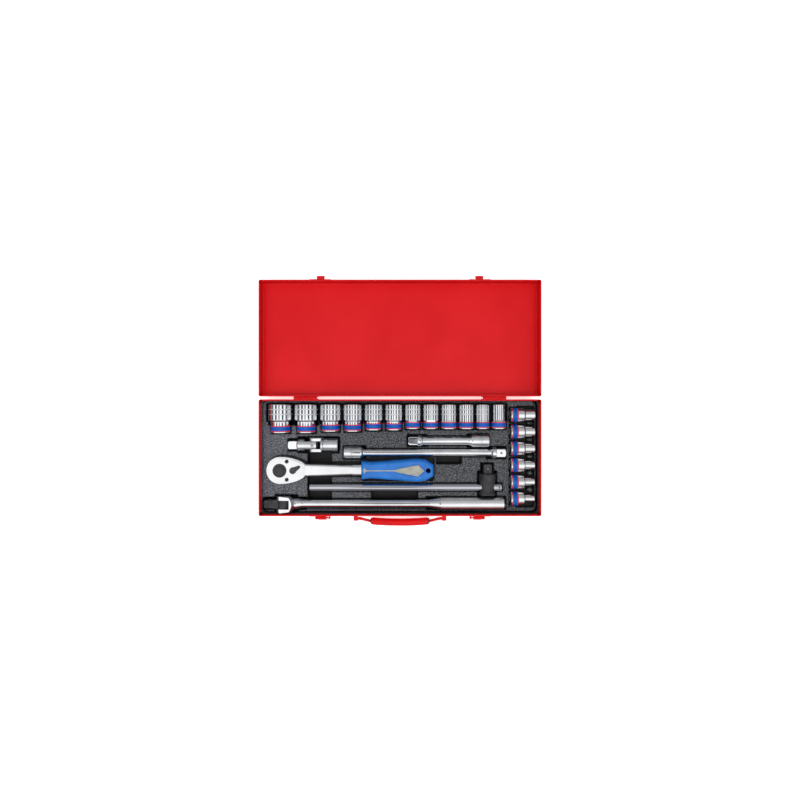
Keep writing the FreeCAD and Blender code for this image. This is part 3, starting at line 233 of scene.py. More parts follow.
# %% Finish of each solid
SLOT_FINISH = {
    "red_paint": red_enamel, "zinc_steel": steel, "brass": brass, "chrome": chrome,
    "black_steel": black_phosphate, "black_plastic": black_moulding, "tray_plastic": tray_plastic,
    "blue_grip": blue_moulding, "grey_inlay": grey_moulding,
}
PAINTED_OVER = {"latch_pins": red_enamel, "hinge_pins": red_enamel}
slot_of = {p["node"]: p["material_slot"] for p in frame["record"]["subparts"]}
body_of = {n: b for b, group in frame["record"]["behaviour"]["bodies"].items() for n in group}
for node, solid in nodes.items():
    finish = PAINTED_OVER.get(node, SLOT_FINISH[slot_of[node]])
    solid.data.materials.clear()
    solid.data.materials.append(finish.material)
print("slots with a finish:", len(SLOT_FINISH))

# %% [markdown]
# ## Making pieces
# Every new piece is a plain mesh at the origin, with its place in its vertices, as the solids have.
# Shading is smooth except across sharp edges.

# %% Helpers for pieces
SHARP = math.radians(38)
FACE_WEIGHT = 90


def node_span(node):
    """Low corner, high corner and middle of a solid, in millimetres."""
    low, high = [np.array(corner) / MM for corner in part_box(node)]
    return low, high, (low + high) / 2


def ends(node, axis=0):
    """Both ends of a solid along an axis, to a tenth of a millimetre."""
    return [round(corner[axis], 1) for corner in node_span(node)[:2]]


def middle_of(node):
    """Middle of a solid seen from above, to a tenth of a millimetre."""
    return [round(value, 1) for value in node_span(node)[2][:2]]


def points_of(node):
    return np.array([vert.co for vert in nodes[node].data.vertices]) / MM


def new_mesh(name, points, faces=()):
    """Mesh from points in millimetres."""
    mesh = bpy.data.meshes.new(name)
    mesh.from_pydata((np.array(points) * MM).tolist(), [], faces)
    return mesh


def opened(mesh, fuse=0.0):
    """Open a mesh for editing, with points closer than fuse made one."""
    bm = bmesh.new()
    bm.from_mesh(mesh)
    if fuse:
        bmesh.ops.remove_doubles(bm, verts=bm.verts, dist=fuse)
    return bm


def keep_outward(bm, mesh):
    """Write a closed skin back to its mesh with every face turned outward."""
    bmesh.ops.recalc_face_normals(bm, faces=bm.faces)
    if bm.calc_volume(signed=True) < 0:
        bmesh.ops.reverse_faces(bm, faces=bm.faces)
    bm.to_mesh(mesh)
    bm.free()


def apply_modifiers(piece):
    depsgraph = bpy.context.evaluated_depsgraph_get()
    piece.data = bpy.data.meshes.new_from_object(piece.evaluated_get(depsgraph))
    piece.modifiers.clear()


def shade(mesh, angle=SHARP):
    mesh.polygons.foreach_set("use_smooth", [True] * len(mesh.polygons))
    mesh.set_sharp_from_angle(angle=angle)


def settle(piece, angle=SHARP):
    """Smooth shading in which large faces stay true and only the narrow faces of an edge bend the light."""
    shade(piece.data, angle)
    weigh = piece.modifiers.new("normals", "WEIGHTED_NORMAL")
    weigh.keep_sharp = True
    weigh.weight = FACE_WEIGHT
    apply_modifiers(piece)
    return piece


def linked(name, mesh, *finishes):
    mesh.name = name
    for finish in finishes:
        mesh.materials.append(finish.material)
    piece = bpy.data.objects.new(name, mesh)
    bpy.context.scene.collection.objects.link(piece)
    return piece


def seat(piece, *replaced, body=None, slot=None):
    """The piece moves with the body of the solids that it stands for, or with the body named."""
    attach(piece, body or body_of[replaced[0]])
    if replaced:
        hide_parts(*replaced)
    return piece


print("bodies to ride on:", len(set(body_of.values())))

# %% [markdown]
# ## Turned parts
# Sockets and bars are turned on a lathe, so they are drawn as rings of points along an axis. A ring may be
# round, square or six-sided, which makes the drives and the hexagon mouths without any boolean cut.
# Seventy-two points a ring put a point on every corner of both the square and the hexagon.

# %% Turned parts
RING = 72
ANGLES = np.arange(RING) * 2 * math.pi / RING


def ring(radius, sides=0, limit=None):
    """Radius at each angle. With sides, radius is half the width across flats, and one flat faces up."""
    if not sides:
        return np.full(RING, float(radius))
    span = 2 * math.pi / sides
    off_flat = (ANGLES - math.pi / 2 + span / 2) % span - span / 2
    radii = radius / np.cos(off_flat)
    return radii if limit is None else np.minimum(radii, limit)


def rounds(rows):
    """Round stations, all in the first finish, from rows of (along, radius)."""
    return [(along, ring(radius), 0) for along, radius in rows]


def turned(name, stations, origin, *finishes, turn=0.0, through=False, upright=False):
    """Closed skin over stations of (along, radii, finish number), in millimetres."""
    circles = []
    for along, radii, _ in stations:
        circles.append(np.c_[np.full(RING, along), radii * np.cos(ANGLES), radii * np.sin(ANGLES)])
    points = np.concatenate(circles)
    if upright:
        points = np.c_[-points[:, 2], points[:, 1], points[:, 0]]
    c, s = math.cos(math.radians(turn)), math.sin(math.radians(turn))
    points = points @ np.array([[c, s, 0], [-s, c, 0], [0, 0, 1]]) + np.array(origin)
    count = len(stations)
    faces, numbers = [], []
    for i in range(count if through else count - 1):
        a, b = i * RING, (i + 1) % count * RING
        for k in range(RING):
            n = (k + 1) % RING
            faces.append((a + k, a + n, b + n, b + k))
            numbers.append(stations[i][2])
    if not through:
        faces += [tuple(range(RING)), tuple((count - 1) * RING + k for k in range(RING))]
        numbers += [stations[0][2], stations[-1][2]]
    mesh = new_mesh(name, points, faces)
    mesh.polygons.foreach_set("material_index", numbers)
    keep_outward(opened(mesh, 1e-7), mesh)
    return settle(linked(name, mesh, *finishes))


def neck(x0, r0, x1, r1, steps=6):
    """Rounded step between two radii."""
    t = np.linspace(0, 1, steps)
    ease = t * t * (3 - 2 * t)
    return [(x0 + (x1 - x0) * a, r0 + (r1 - r0) * b) for a, b in zip(t, ease)]


print("points in a ring:", RING)

# %% [markdown]
# A socket has a square drive at one end and a hexagon mouth at the other. Round the drive end runs a painted
# band of blue between two red lines, set just below the chrome. The mouth end is wider on large sizes and
# carries two frosted grooves. The radii of both ends are measured on the solid.

# %% Sockets
ROW_SIZES = [27, 26, 24, 22, 21, 20, 19, 18, 17, 16, 15, 14]
SIDE_SIZES = [13, 12, 11, 10, 9, 8]
ROW_MOUTH, ROW_BAND = 24.0, 9.0
SIDE_MOUTH, SIDE_BAND = 14.7, 9.4
PLAIN_UP_TO = 14
HALF_DRIVE = 6.45
DRIVE_DEPTH = 14.5
RIM = 1.9
BAND_SET_IN = 0.1
RED_LINE = 1.3
GROOVE = 0.25
GROOVE_HALF = 0.8
GROOVE_EDGE = 1.0
GROOVE_PLACES = (0.36, 0.68)
SHOULDER = 3.0
HEX_DEPTH = 0.62
HEX_PLAY = 0.1
BORE_OF_HEX = 0.44
BORE_OF_DRIVE = 0.46
END_REACH = 6.0
CHROME, RED, BLUE, STEEL, FROSTED = range(5)


def end_radii(node, axis):
    """Largest radius of a solid near its low and its high end, measured about its own middle line, in mm."""
    low, high, middle = node_span(node)
    points = points_of(node)
    across = 1 - axis
    radii = np.hypot(points[:, across] - middle[across], points[:, 2] - middle[2])
    return [radii[np.abs(points[:, axis] - end) < END_REACH].max() for end in (low[axis], high[axis])]


def socket_outside(size, length, drive_r, hex_r, mouth, band):
    band_end = RIM + band
    band_r = drive_r - BAND_SET_IN
    rim = [(0, drive_r - 0.8), (0.25, drive_r - 0.3), (0.8, drive_r), (RIM, drive_r)]
    step = neck(length - mouth - SHOULDER, drive_r, length - mouth, hex_r)
    rows = [(x, r, CHROME) for x, r in rim]
    rows += [(RIM, band_r, RED), (RIM + RED_LINE, band_r, BLUE), (band_end - RED_LINE, band_r, RED)]
    rows += [(x, r, CHROME) for x, r in [(band_end, band_r), (band_end, drive_r)] + step]
    for groove in GROOVE_PLACES if size > PLAIN_UP_TO else ():
        x = length - mouth + groove * mouth
        rows += [(x - GROOVE_EDGE, hex_r, CHROME), (x - GROOVE_HALF, hex_r - GROOVE, FROSTED),
                 (x + GROOVE_HALF, hex_r - GROOVE, CHROME), (x + GROOVE_EDGE, hex_r, CHROME)]
    lip = [(length - 1.0, hex_r), (length - 0.3, hex_r - 0.35), (length, hex_r - 0.9)]
    rows += [(x, r, CHROME) for x, r in lip]
    return [(x, ring(r), number) for x, r, number in rows]


def socket_inside(size, length, mouth):
    flat = size / 2 + HEX_PLAY
    bore = min(BORE_OF_HEX * size, BORE_OF_DRIVE * 2 * HALF_DRIVE)
    floor = length - HEX_DEPTH * mouth
    return [(length, ring(flat + 0.45, 6), STEEL), (length - 0.8, ring(flat, 6), STEEL),
            (floor, ring(flat, 6), STEEL), (floor - 1.0, ring(bore), STEEL),
            (DRIVE_DEPTH, ring(bore), STEEL), (DRIVE_DEPTH, ring(HALF_DRIVE, 4), STEEL),
            (0.5, ring(HALF_DRIVE, 4), STEEL), (0, ring(HALF_DRIVE + 0.35, 4), CHROME)]


def make_socket(size, axis, mouth, band):
    node = f"socket_{size:02d}"
    low, high, origin = node_span(node)
    length = high[axis] - low[axis]
    origin[axis] = low[axis]
    drive_r, hex_r = end_radii(node, axis)
    stations = socket_outside(size, length, drive_r, hex_r, mouth, band) + socket_inside(size, length, mouth)
    piece = turned(f"chrome_socket_{size}", stations, origin, chrome, red_ring, blue_ring, steel, frosted,
                   turn=90.0 * axis, through=True)
    return seat(piece, node)


sockets = [make_socket(size, 1, ROW_MOUTH, ROW_BAND) for size in ROW_SIZES]
sockets += [make_socket(size, 0, SIDE_MOUTH, SIDE_BAND) for size in SIDE_SIZES]
print("sockets:", len(sockets))

# %% [markdown]
# ## Extension bars and the sliding bar
# An extension bar is one turned bar with a square at one end and a square socket at the other. The corners of
# the square are rounded by holding its radius to a limit, and its tip is chamfered in the same way. The
# sliding bar is a plain rod with rounded ends.

# %% Extension bars and sliding bar
HALF_SQUARE = 6.3
CORNER_R = 8.5
TIP = 1.5
COLLAR_R = 9.1
COLLAR_W = 4.0
NECK_IN = 4.0
NECK_OUT = 7.0
SOCKET_END = 25.0
BAR_GROOVE = 12.0
SHORT_ROD_R = 7.0
LONG_ROD_R = 6.0


def extension_stations(length, rod_r, end_r):
    collar = DRIVE_DEPTH + 1.0
    collar_end = collar + COLLAR_W
    mouth = length - SOCKET_END
    groove = mouth + BAR_GROOVE
    square = [(0, ring(HALF_SQUARE - 0.5, 4, CORNER_R - TIP - 0.3)),
              (0.3, ring(HALF_SQUARE, 4, CORNER_R - TIP)),
              (TIP, ring(HALF_SQUARE, 4, CORNER_R)),
              (DRIVE_DEPTH, ring(HALF_SQUARE, 4, CORNER_R))]
    bar = [(DRIVE_DEPTH, CORNER_R - 0.1), (collar, COLLAR_R), (collar_end, COLLAR_R)]
    bar += neck(collar_end + 0.2, COLLAR_R - 0.2, collar_end + NECK_IN, rod_r)
    bar += neck(mouth - NECK_OUT, rod_r, mouth, end_r)
    bar += [(groove, end_r), (groove + 0.3, end_r - GROOVE), (groove + 1.1, end_r - GROOVE),
            (groove + 1.4, end_r), (length - 1, end_r), (length - 0.3, end_r - 0.4), (length, end_r - 1)]
    recess = [(length, ring(HALF_DRIVE + 0.4, 4)), (length - 0.5, ring(HALF_DRIVE, 4)),
              (length - DRIVE_DEPTH, ring(HALF_DRIVE, 4))]
    rows = square + [(x, ring(r)) for x, r in bar] + recess
    return [(x, radii, 0) for x, radii in rows]


def make_extension(node, rod_r, turn):
    low, high, origin = node_span(node)
    origin[0] = low[0] if turn == 0 else high[0]
    stations = extension_stations(high[0] - low[0], rod_r, (high[1] - low[1]) / 2)
    return seat(turned("chrome_" + node, stations, origin, chrome, turn=turn), node)


short_bar = make_extension("extension_short", SHORT_ROD_R, 0.0)
long_bar = make_extension("extension_long", LONG_ROD_R, 180.0)

low, high, rod_start = node_span("t_bar_rod")
rod_start[0] = low[0]
rod_r = (high[2] - low[2]) / 2
rod_length = high[0] - low[0]
rod_end = [(0, rod_r - 1.4), (0.3, rod_r - 0.7), (1.2, rod_r)]
rod = rod_end + [(rod_length - x, r) for x, r in reversed(rod_end)]
sliding_bar = seat(turned("chrome_sliding_bar", rounds(rod), rod_start, dark_chrome), "t_bar_rod")
print("bars:", [p.name for p in (short_bar, long_bar, sliding_bar)])

# %% [markdown]
# ## Oval head of the ratchet
# The ratchet's head is rounder than its solid, which joins a circle to the neck with two straight lines. Its
# skin is sliced across and each slice is widened to a full oval, but only near the rim, so that the holes for
# the drive, the lever and the screws stay where they are.

# %% Oval head of the ratchet
HEAD_X, RATCHET_Y = middle_of("ratchet_drive_gear")
HEAD_HALF = 20.5
NECK_HALF = 9.5
NECK_REACH = 37.5
HEAD_SLICES = 18
OVAL_POWER = 0.72
HELD_UP_TO = 0.75
HELD_FADE = 0.2
OVAL_INSET = {"ratchet_body": 0.0, "cover_plate": 1.6}


def straight_half(dx, inset):
    """Half width of the solid's head at a distance past its centre: a circle, then a straight taper."""
    r = HEAD_HALF - inset
    cosine = (HEAD_HALF - NECK_HALF) / NECK_REACH
    if dx < r * cosine:
        return math.sqrt(r * r - dx * dx)
    return (r - dx * cosine) / math.sqrt(1 - cosine * cosine)


def oval_half(dx, inset=0.0):
    """Half width of the finished head, which stays full and then turns in quickly to the neck."""
    t = np.clip(dx / NECK_REACH, 0, 1)
    return NECK_HALF - inset + (HEAD_HALF - NECK_HALF) * (1 - t * t) ** OVAL_POWER


def make_oval(bm, inset):
    for dx in np.linspace(1.5, NECK_REACH - 0.5, HEAD_SLICES):
        everything = list(bm.verts) + list(bm.edges) + list(bm.faces)
        bmesh.ops.bisect_plane(bm, geom=everything, dist=1e-6, plane_co=((HEAD_X + dx) * MM, 0, 0),
                               plane_no=(1, 0, 0))
    for vert in bm.verts:
        dx = vert.co.x / MM - HEAD_X
        y = vert.co.y / MM - RATCHET_Y
        if 0 < dx < NECK_REACH:
            before = straight_half(dx, inset)
            near_rim = np.clip((abs(y) / before - HELD_UP_TO) / HELD_FADE, 0, 1)
            y *= 1 + near_rim * (oval_half(dx, inset) / before - 1)
            vert.co.y = (RATCHET_Y + y) * MM


print("ratchet head at", (HEAD_X, RATCHET_Y))

# %% [markdown]
# ## Pressed and forged parts
# The case, its fittings and the forged heads have the right shape already, but their edges are razor sharp.
# A copy of each solid is merged into one skin and a Bevel rounds its edges, as a press or a hammer leaves
# them. Light catches on such an edge, and that makes sheet metal look folded.

# %% Softened solids
EDGE_TURN = math.radians(32)
EDGE_STEPS = 2
FLAT_WITHIN = math.radians(0.5)
SOFT_SHARP = math.radians(42)


def softened(node, width, finish):
    mesh = nodes[node].data.copy()
    mesh.materials.clear()
    bm = opened(mesh, 2e-6)
    bmesh.ops.dissolve_limit(bm, angle_limit=FLAT_WITHIN, verts=bm.verts, edges=bm.edges)
    if node in OVAL_INSET:
        make_oval(bm, OVAL_INSET[node])
    bm.to_mesh(mesh)
    bm.free()
    piece = linked("soft_" + node, mesh, finish)
    bevel = piece.modifiers.new("edges", "BEVEL")
    bevel.width = width * MM
    bevel.segments = EDGE_STEPS
    bevel.limit_method = "ANGLE"
    bevel.angle_limit = EDGE_TURN
    bevel.use_clamp_overlap = True
    apply_modifiers(piece)
    return seat(settle(piece, SOFT_SHARP), node)


SOFT_EDGES = [
    (red_enamel, {"base_pan": 0.35, "lid_pan": 0.35, "latch_plates": 0.25, "latch_lever_left": 0.35,
                  "latch_lever_right": 0.35, "lid_catches": 0.3, "handle_brackets": 0.25,
                  "hinge_base_leaves": 0.15, "hinge_lid_leaves": 0.15, "handle_bail": 0.3}),
    (chrome, {"uj_drive_fork": 0.4, "uj_socket_fork": 0.5}),
    (steel, {"uj_cross": 0.3}),
    (satin_chrome, {"ratchet_body": 0.9, "cover_plate": 0.35}),
    (black_moulding, {"reverse_lever": 0.5, "release_button": 0.4}),
    (blue_moulding, {"ratchet_grip": 0.4}),
    (black_phosphate, {"t_bar_head": 0.4}),
    (chrome, {"breaker_handle": 0.5}),
    (black_phosphate, {"breaker_head": 0.5}),
]
soft_pieces = []
for finish, widths in SOFT_EDGES:
    soft_pieces += [softened(node, width, finish) for node, width in widths.items()]
print("softened:", len(soft_pieces))

# %% [markdown]
# ## The moulded tray
# The tray is one sheet of plastic drawn into moulds, so it is a height above the case floor for every place.
# Each pocket is an outline, told as a distance that is less than zero inside it, and a floor: round-bottomed
# under a bar, flat under a handle.

# %% Shapes of pockets
SIDE_GAP = 1.2
CRADLE_Z = 22.9
TROUGH_CORNER = 0.8
GRID = 1.0
tray_low, tray_high, _ = node_span("tool_tray")
columns, rows = [int(round((tray_high[axis] - tray_low[axis]) / GRID)) + 1 for axis in (0, 1)]
across = np.linspace(tray_low[0], tray_high[0], columns)
along = np.linspace(tray_low[1], tray_high[1], rows)
X, Y = np.meshgrid(across, along, indexing="ij")


def rounded_box(x0, x1, y0, y1, corner):
    """Distance outside a rectangle with rounded corners, less than zero inside it."""
    dx = np.abs(X - (x0 + x1) / 2) - (x1 - x0) / 2 + corner
    dy = np.abs(Y - (y0 + y1) / 2) - (y1 - y0) / 2 + corner
    outside = np.hypot(np.maximum(dx, 0), np.maximum(dy, 0))
    return outside + np.minimum(np.maximum(dx, dy), 0) - corner


def cradle(off, r):
    return CRADLE_Z - np.sqrt(np.clip(r * r - off ** 2, 0, None))


def trough_x(x0, x1, y, radius):
    r = radius + SIDE_GAP
    return rounded_box(x0, x1, y - r, y + r, TROUGH_CORNER), cradle(Y - y, r)


def trough_y(y0, y1, x, radius):
    r = radius + SIDE_GAP
    return rounded_box(x - r, x + r, y0, y1, TROUGH_CORNER), cradle(X - x, r)


def flat_pocket(x0, x1, y0, y1, floor, corner=2.0):
    return rounded_box(x0, x1, y0, y1, corner), np.full(X.shape, floor)


def lane(x0, x1, y, half, floor, corner):
    """Flat pocket on both sides of a line."""
    return flat_pocket(x0, x1, y - half, y + half, floor, corner)


def oval_pocket(floor):
    """Room beside the taper of the ratchet's head."""
    dx = X - HEAD_X
    edge = np.abs(Y - RATCHET_Y) - oval_half(dx) - SIDE_GAP
    return np.where((dx > 0) & (dx < NECK_REACH), edge, GRID * 10), np.full(X.shape, floor)


def round_pocket(x, y, radius, floor):
    return np.hypot(X - x, Y - y) - radius, np.full(X.shape, floor)


print("tray grid:", columns, "by", rows)

# %% [markdown]
# The sockets lie in two fields. Each has a trough of two widths, one for its drive end and one for its mouth.

# %% Pockets for the sockets
END_GAP = 2.0
ROW_FIELD = (-208.5, 167.0, 54.0, 83.3)
ROW_FLOOR = 12.0
SIDE_FIELD = (180.0, 209.5, -78.9, 78.9)
SIDE_FLOOR = 16.0
WIDE_MOUTH_FROM = 12.4
WIDE_DRIVE_TO = 22.0
SIDE_DRIVE_R = 11.15
SIDE_STEP = 22.8
SIDE_OVERLAP = 1.0

pockets = [flat_pocket(*ROW_FIELD, ROW_FLOOR), flat_pocket(*SIDE_FIELD, SIDE_FLOOR)]
for size in ROW_SIZES:
    node = f"socket_{size:02d}"
    low, high, middle = node_span(node)
    drive_r, hex_r = end_radii(node, 1)
    front, back = low[1] - END_GAP, high[1] + END_GAP
    pockets.append(trough_y(front, back, middle[0], min(drive_r, hex_r)))
    if hex_r > drive_r:
        pockets.append(trough_y(low[1] + WIDE_MOUTH_FROM - SIDE_GAP, back, middle[0], hex_r))
    else:
        pockets.append(trough_y(front, high[1] - WIDE_DRIVE_TO, middle[0], drive_r))
for size in SIDE_SIZES:
    node = f"socket_{size:02d}"
    low, high, middle = node_span(node)
    step = low[0] + SIDE_STEP
    pockets.append(trough_x(low[0] - SIDE_GAP, step + SIDE_OVERLAP, middle[1], SIDE_DRIVE_R))
    pockets.append(trough_x(step, high[0] + SIDE_GAP, middle[1], end_radii(node, 0)[1]))
print("pockets for the sockets:", len(pockets))

# %% [markdown]
# A tool lies in several pockets at once: a wide one for its head, a trough for its bar and wells for fingers.
# Their ends follow the ends of the solids.

# %% Pockets for the tools
SQUARE_R = 9.1
SQUARE_ROOM = (30.0, SQUARE_R)
SOCKET_ROOM = (34.0, 10.0)
T_ROD_R = 6.0
T_HEAD_HALF, T_HEAD_FRONT, T_HEAD_BACK = 15.3, 15.0, 25.6
JOINT_RUN = 24.5
CROSS_LEFT, CROSS_RIGHT = 11.9, 15.5
HEAD_FLOOR = 19.1
SHORT_Y = 24.7
LONG_Y = 6.2
PIVOT_X = -180.4
FORK_END = -158.0
FORK_NECK_ROOM = (-166.0, -145.0)
GRIP_NECK_ROOM = (40.0, 70.0)
KNURL_ROOM_FROM = 60.2
FINGER_WELLS = [(-144.0, -106.0, -67.0, 7.0, 9.0), (-45.0, 28.0, -67.0, -52.0, 10.0),
                (56.0, 96.0, -12.0, 2.0, 10.0)]
uj_x, UJ_Y = middle_of("uj_cross")
TBAR_Y = middle_of("t_bar_rod")[1]
BREAKER_Y = middle_of("breaker_handle")[1]
t_head_x = middle_of("t_bar_head")[0]
grip_low, grip_high = ends("ratchet_grip")
rod_low, rod_high = ends("t_bar_rod")
breaker_low = ends("breaker_head")[0]
fork_low, breaker_high = ends("breaker_handle")


def bar_pockets(node, y, rod_r, left, right):
    """Troughs for an extension bar, with the length and radius of the room for its left and right ends."""
    low, high = ends(node)
    return [trough_x(low - END_GAP, low + left[0], y, left[1]), trough_x(low, high, y, rod_r),
            trough_x(high - right[0], high + END_GAP, y, right[1])]


extensions = bar_pockets("extension_short", SHORT_Y, SHORT_ROD_R, SQUARE_ROOM, SOCKET_ROOM)
extensions += bar_pockets("extension_long", LONG_Y, LONG_ROD_R, SOCKET_ROOM, SQUARE_ROOM)
joint = [
    trough_x(ends("uj_drive_fork")[0] - END_GAP, uj_x, UJ_Y, SQUARE_R),
    trough_x(uj_x - JOINT_RUN, ends("uj_socket_fork")[1] + END_GAP, UJ_Y, radius=11.95),
    lane(uj_x - CROSS_LEFT, uj_x + CROSS_RIGHT, UJ_Y, half=13.1, floor=14.0, corner=1.0),
]
ratchet = [
    round_pocket(HEAD_X, RATCHET_Y, HEAD_HALF + 1.5, HEAD_FLOOR),
    round_pocket(HEAD_X, RATCHET_Y, radius=11.0, floor=3.0),
    oval_pocket(HEAD_FLOOR),
    lane(HEAD_X, grip_low, RATCHET_Y, half=12.0, floor=HEAD_FLOOR, corner=0.5),
    lane(grip_low - END_GAP, grip_high + END_GAP, RATCHET_Y, half=18.0, floor=17.6, corner=5.0),
]
t_bar = [
    trough_x(rod_low - END_GAP, rod_high + END_GAP, TBAR_Y, T_ROD_R),
    flat_pocket(t_head_x - T_HEAD_HALF, t_head_x + T_HEAD_HALF, TBAR_Y - T_HEAD_FRONT, TBAR_Y + T_HEAD_BACK,
                floor=8.5),
    trough_y(TBAR_Y, ends("t_bar_head", 1)[1] + END_GAP, t_head_x, SQUARE_R),
]
breaker = [
    trough_x(breaker_low - END_GAP, PIVOT_X, BREAKER_Y, SQUARE_R),
    lane(fork_low - END_GAP, FORK_END, BREAKER_Y, half=13.7, floor=9.2, corner=1.0),
    trough_x(breaker_low, breaker_high, BREAKER_Y, radius=7.0),
    trough_x(*FORK_NECK_ROOM, BREAKER_Y, radius=9.4),
    trough_x(*GRIP_NECK_ROOM, BREAKER_Y, radius=9.8),
    trough_x(KNURL_ROOM_FROM, breaker_high + END_GAP, BREAKER_Y, radius=10.0),
]
pockets += joint + extensions + ratchet + t_bar + breaker + [flat_pocket(*well) for well in FINGER_WELLS]
print("pockets with the tools:", len(pockets))

# %% [markdown]
# The height of a point is the lowest floor it lies in, and the edges of pockets roll over. Points near an
# outline are moved onto it, which keeps the edges clean on a coarse grid. Five bumps stand between the side
# sockets, and the border stands up as a thin flange behind a narrow moat.

# %% Tray heights
ROLL = 1.3
LIP_W = 2.4
LIP_H = 0.7
LIP_RISE = 0.8
CORNER = 8.0
MOAT_LEFT, MOAT_RIGHT, MOAT_FRONT, MOAT_BACK = 1.2, 3.6, 2.6, 0.9
MOAT_FLOOR = 9.0
FLANGE_TOP = 29.4
FLANGE_W = 0.75
FLOOR_PLAY = 0.05
MOVE_WITHIN = 0.5
LEAST_SLOPE = 0.2
CLEAR_SLOPE = 0.7
BUMP_X = 202.5
BUMP_HALF = 6.0
BUMP_RISE = 6.2
HALF_PITCH = 12.95
BUMP_GAP = 3.6

inner = rounded_box(tray_low[0] + MOAT_LEFT, tray_high[0] - MOAT_RIGHT, tray_low[1] + MOAT_FRONT,
                    tray_high[1] - MOAT_BACK, CORNER)
pockets.append((-inner, np.full(X.shape, MOAT_FLOOR)))
outline = np.min([edge for edge, _ in pockets], axis=0)
slope_x, slope_y = np.gradient(outline, across[1] - across[0], along[1] - along[0])
steepness = np.maximum(np.hypot(slope_x, slope_y), LEAST_SLOPE)
near = (np.abs(outline) < MOVE_WITHIN * GRID) & (steepness > CLEAR_SLOPE)
near[[0, -1], :] = False
near[:, [0, -1]] = False
moved_x = np.where(near, X - outline * slope_x / steepness, X)
moved_y = np.where(near, Y - outline * slope_y / steepness, Y)

to_edge = np.where(near, 0.0, np.clip(outline, 0.0, ROLL))
rolled = ROLL - np.sqrt(np.clip(ROLL ** 2 - (ROLL - to_edge) ** 2, 0, None))
lip = LIP_H * np.clip((LIP_W + inner) / LIP_RISE + 1, 0, 1)
heights = tray_high[2] - LIP_H - rolled + lip
for edge, floor in pockets:
    inside = (edge < 0) & ~near
    heights = np.where(inside, np.minimum(heights, floor - FLOOR_PLAY), heights)

for upper, lower in zip(SIDE_SIZES, SIDE_SIZES[1:]):
    y = sum(node_span(f"socket_{size:02d}")[2][1] for size in (upper, lower)) / 2
    half = HALF_PITCH - (upper + lower) / 4 - BUMP_GAP
    swell = 1 - ((X - BUMP_X) / BUMP_HALF) ** 2 - ((Y - y) / half) ** 2
    bump = SIDE_FLOOR + BUMP_RISE * np.sqrt(np.clip(swell, 0, 1))
    heights = np.where(swell > 0, np.maximum(heights, bump), heights)
outer = rounded_box(tray_low[0], tray_high[0], tray_low[1], tray_high[1], CORNER)
heights = np.where(outer > -FLANGE_W * GRID, FLANGE_TOP, heights)
print("tray heights from", round(heights.min(), 2), "to", round(heights.max(), 2), "mm")

# %% [markdown]
# The grid becomes a closed moulding: a skirt drops from its border to a flat underside. Border points outside
# the rounded corners of the tray are pulled in to them first, so the moulding fits the corners of the case.

# %% Tray moulding
TRAY_SHARP = math.radians(50)
reach_x = tray_high[0] - CORNER
reach_y = tray_high[1] - CORNER
over_x = np.abs(moved_x) - reach_x
over_y = np.abs(moved_y) - reach_y
distance = np.hypot(over_x, over_y)
in_corner = (over_x > 0) & (over_y > 0) & (distance > CORNER)
shrink = np.where(in_corner, CORNER / np.maximum(distance, 1e-6), 1.0)
moved_x = np.where(in_corner, np.sign(moved_x) * (reach_x + over_x * shrink), moved_x)
moved_y = np.where(in_corner, np.sign(moved_y) * (reach_y + over_y * shrink), moved_y)

top_points = np.c_[moved_x.ravel(), moved_y.ravel(), heights.ravel()]
index = np.arange(columns * rows).reshape(columns, rows)
quads = np.stack([index[:-1, :-1], index[1:, :-1], index[1:, 1:], index[:-1, 1:]], axis=-1).reshape(-1, 4)
border = np.concatenate([index[:-1, 0], index[-1, :-1], index[:0:-1, -1], index[0, :0:-1]])
skirt_points = top_points[border].copy()
skirt_points[:, 2] = tray_low[2]
skirt = len(top_points) + np.arange(len(border))
walls = np.stack([np.roll(border, -1), border, skirt, np.roll(skirt, -1)], axis=-1)
tray_faces = quads.tolist() + walls.tolist() + [skirt[::-1].tolist()]
tray_mesh = new_mesh("tray", np.concatenate([top_points, skirt_points]), tray_faces)
bm = opened(tray_mesh, 1e-6)
bmesh.ops.dissolve_degenerate(bm, edges=bm.edges, dist=1e-6)
keep_outward(bm, tray_mesh)
shade(tray_mesh, TRAY_SHARP)
seat(linked("moulded_tray", tray_mesh, tray_plastic), "tool_tray")
print("tray faces:", len(tray_mesh.polygons))

# %% [markdown]
# ## What repeats
# Geometry Nodes make what comes back many times. Each tree ends by making a real mesh with one finish. Copies
# sit at the middles of the separate lumps in a solid, so no place is typed twice.

# %% Helpers for Geometry Nodes
def new_group(name, **inputs):
    """Geometry Nodes tree with these inputs, its start node and the key of each input."""
    tree = bpy.data.node_groups.new(name, "GeometryNodeTree")
    keys = {}
    for label, kind in inputs.items():
        socket = tree.interface.new_socket(label, in_out="INPUT", socket_type="NodeSocket" + kind)
        keys[label] = socket.identifier
    tree.interface.new_socket("Geometry", in_out="OUTPUT", socket_type="NodeSocketGeometry")
    return tree, tree.nodes.new("NodeGroupInput").outputs, keys


def end_group(tree, geometry, finish):
    real = add_node(tree, "GeometryNodeRealizeInstances", Geometry=geometry)
    paint = add_node(tree, "GeometryNodeSetMaterial", Geometry=real.outputs["Geometry"],
                     Material=finish.material)
    add_node(tree, "NodeGroupOutput", Geometry=paint.outputs["Geometry"])


def run_group(piece, tree, keys, **values):
    modifier = piece.modifiers.new(tree.name, "NODES")
    modifier.node_group = tree
    for label, value in values.items():
        modifier[keys[label]] = value
    apply_modifiers(piece)


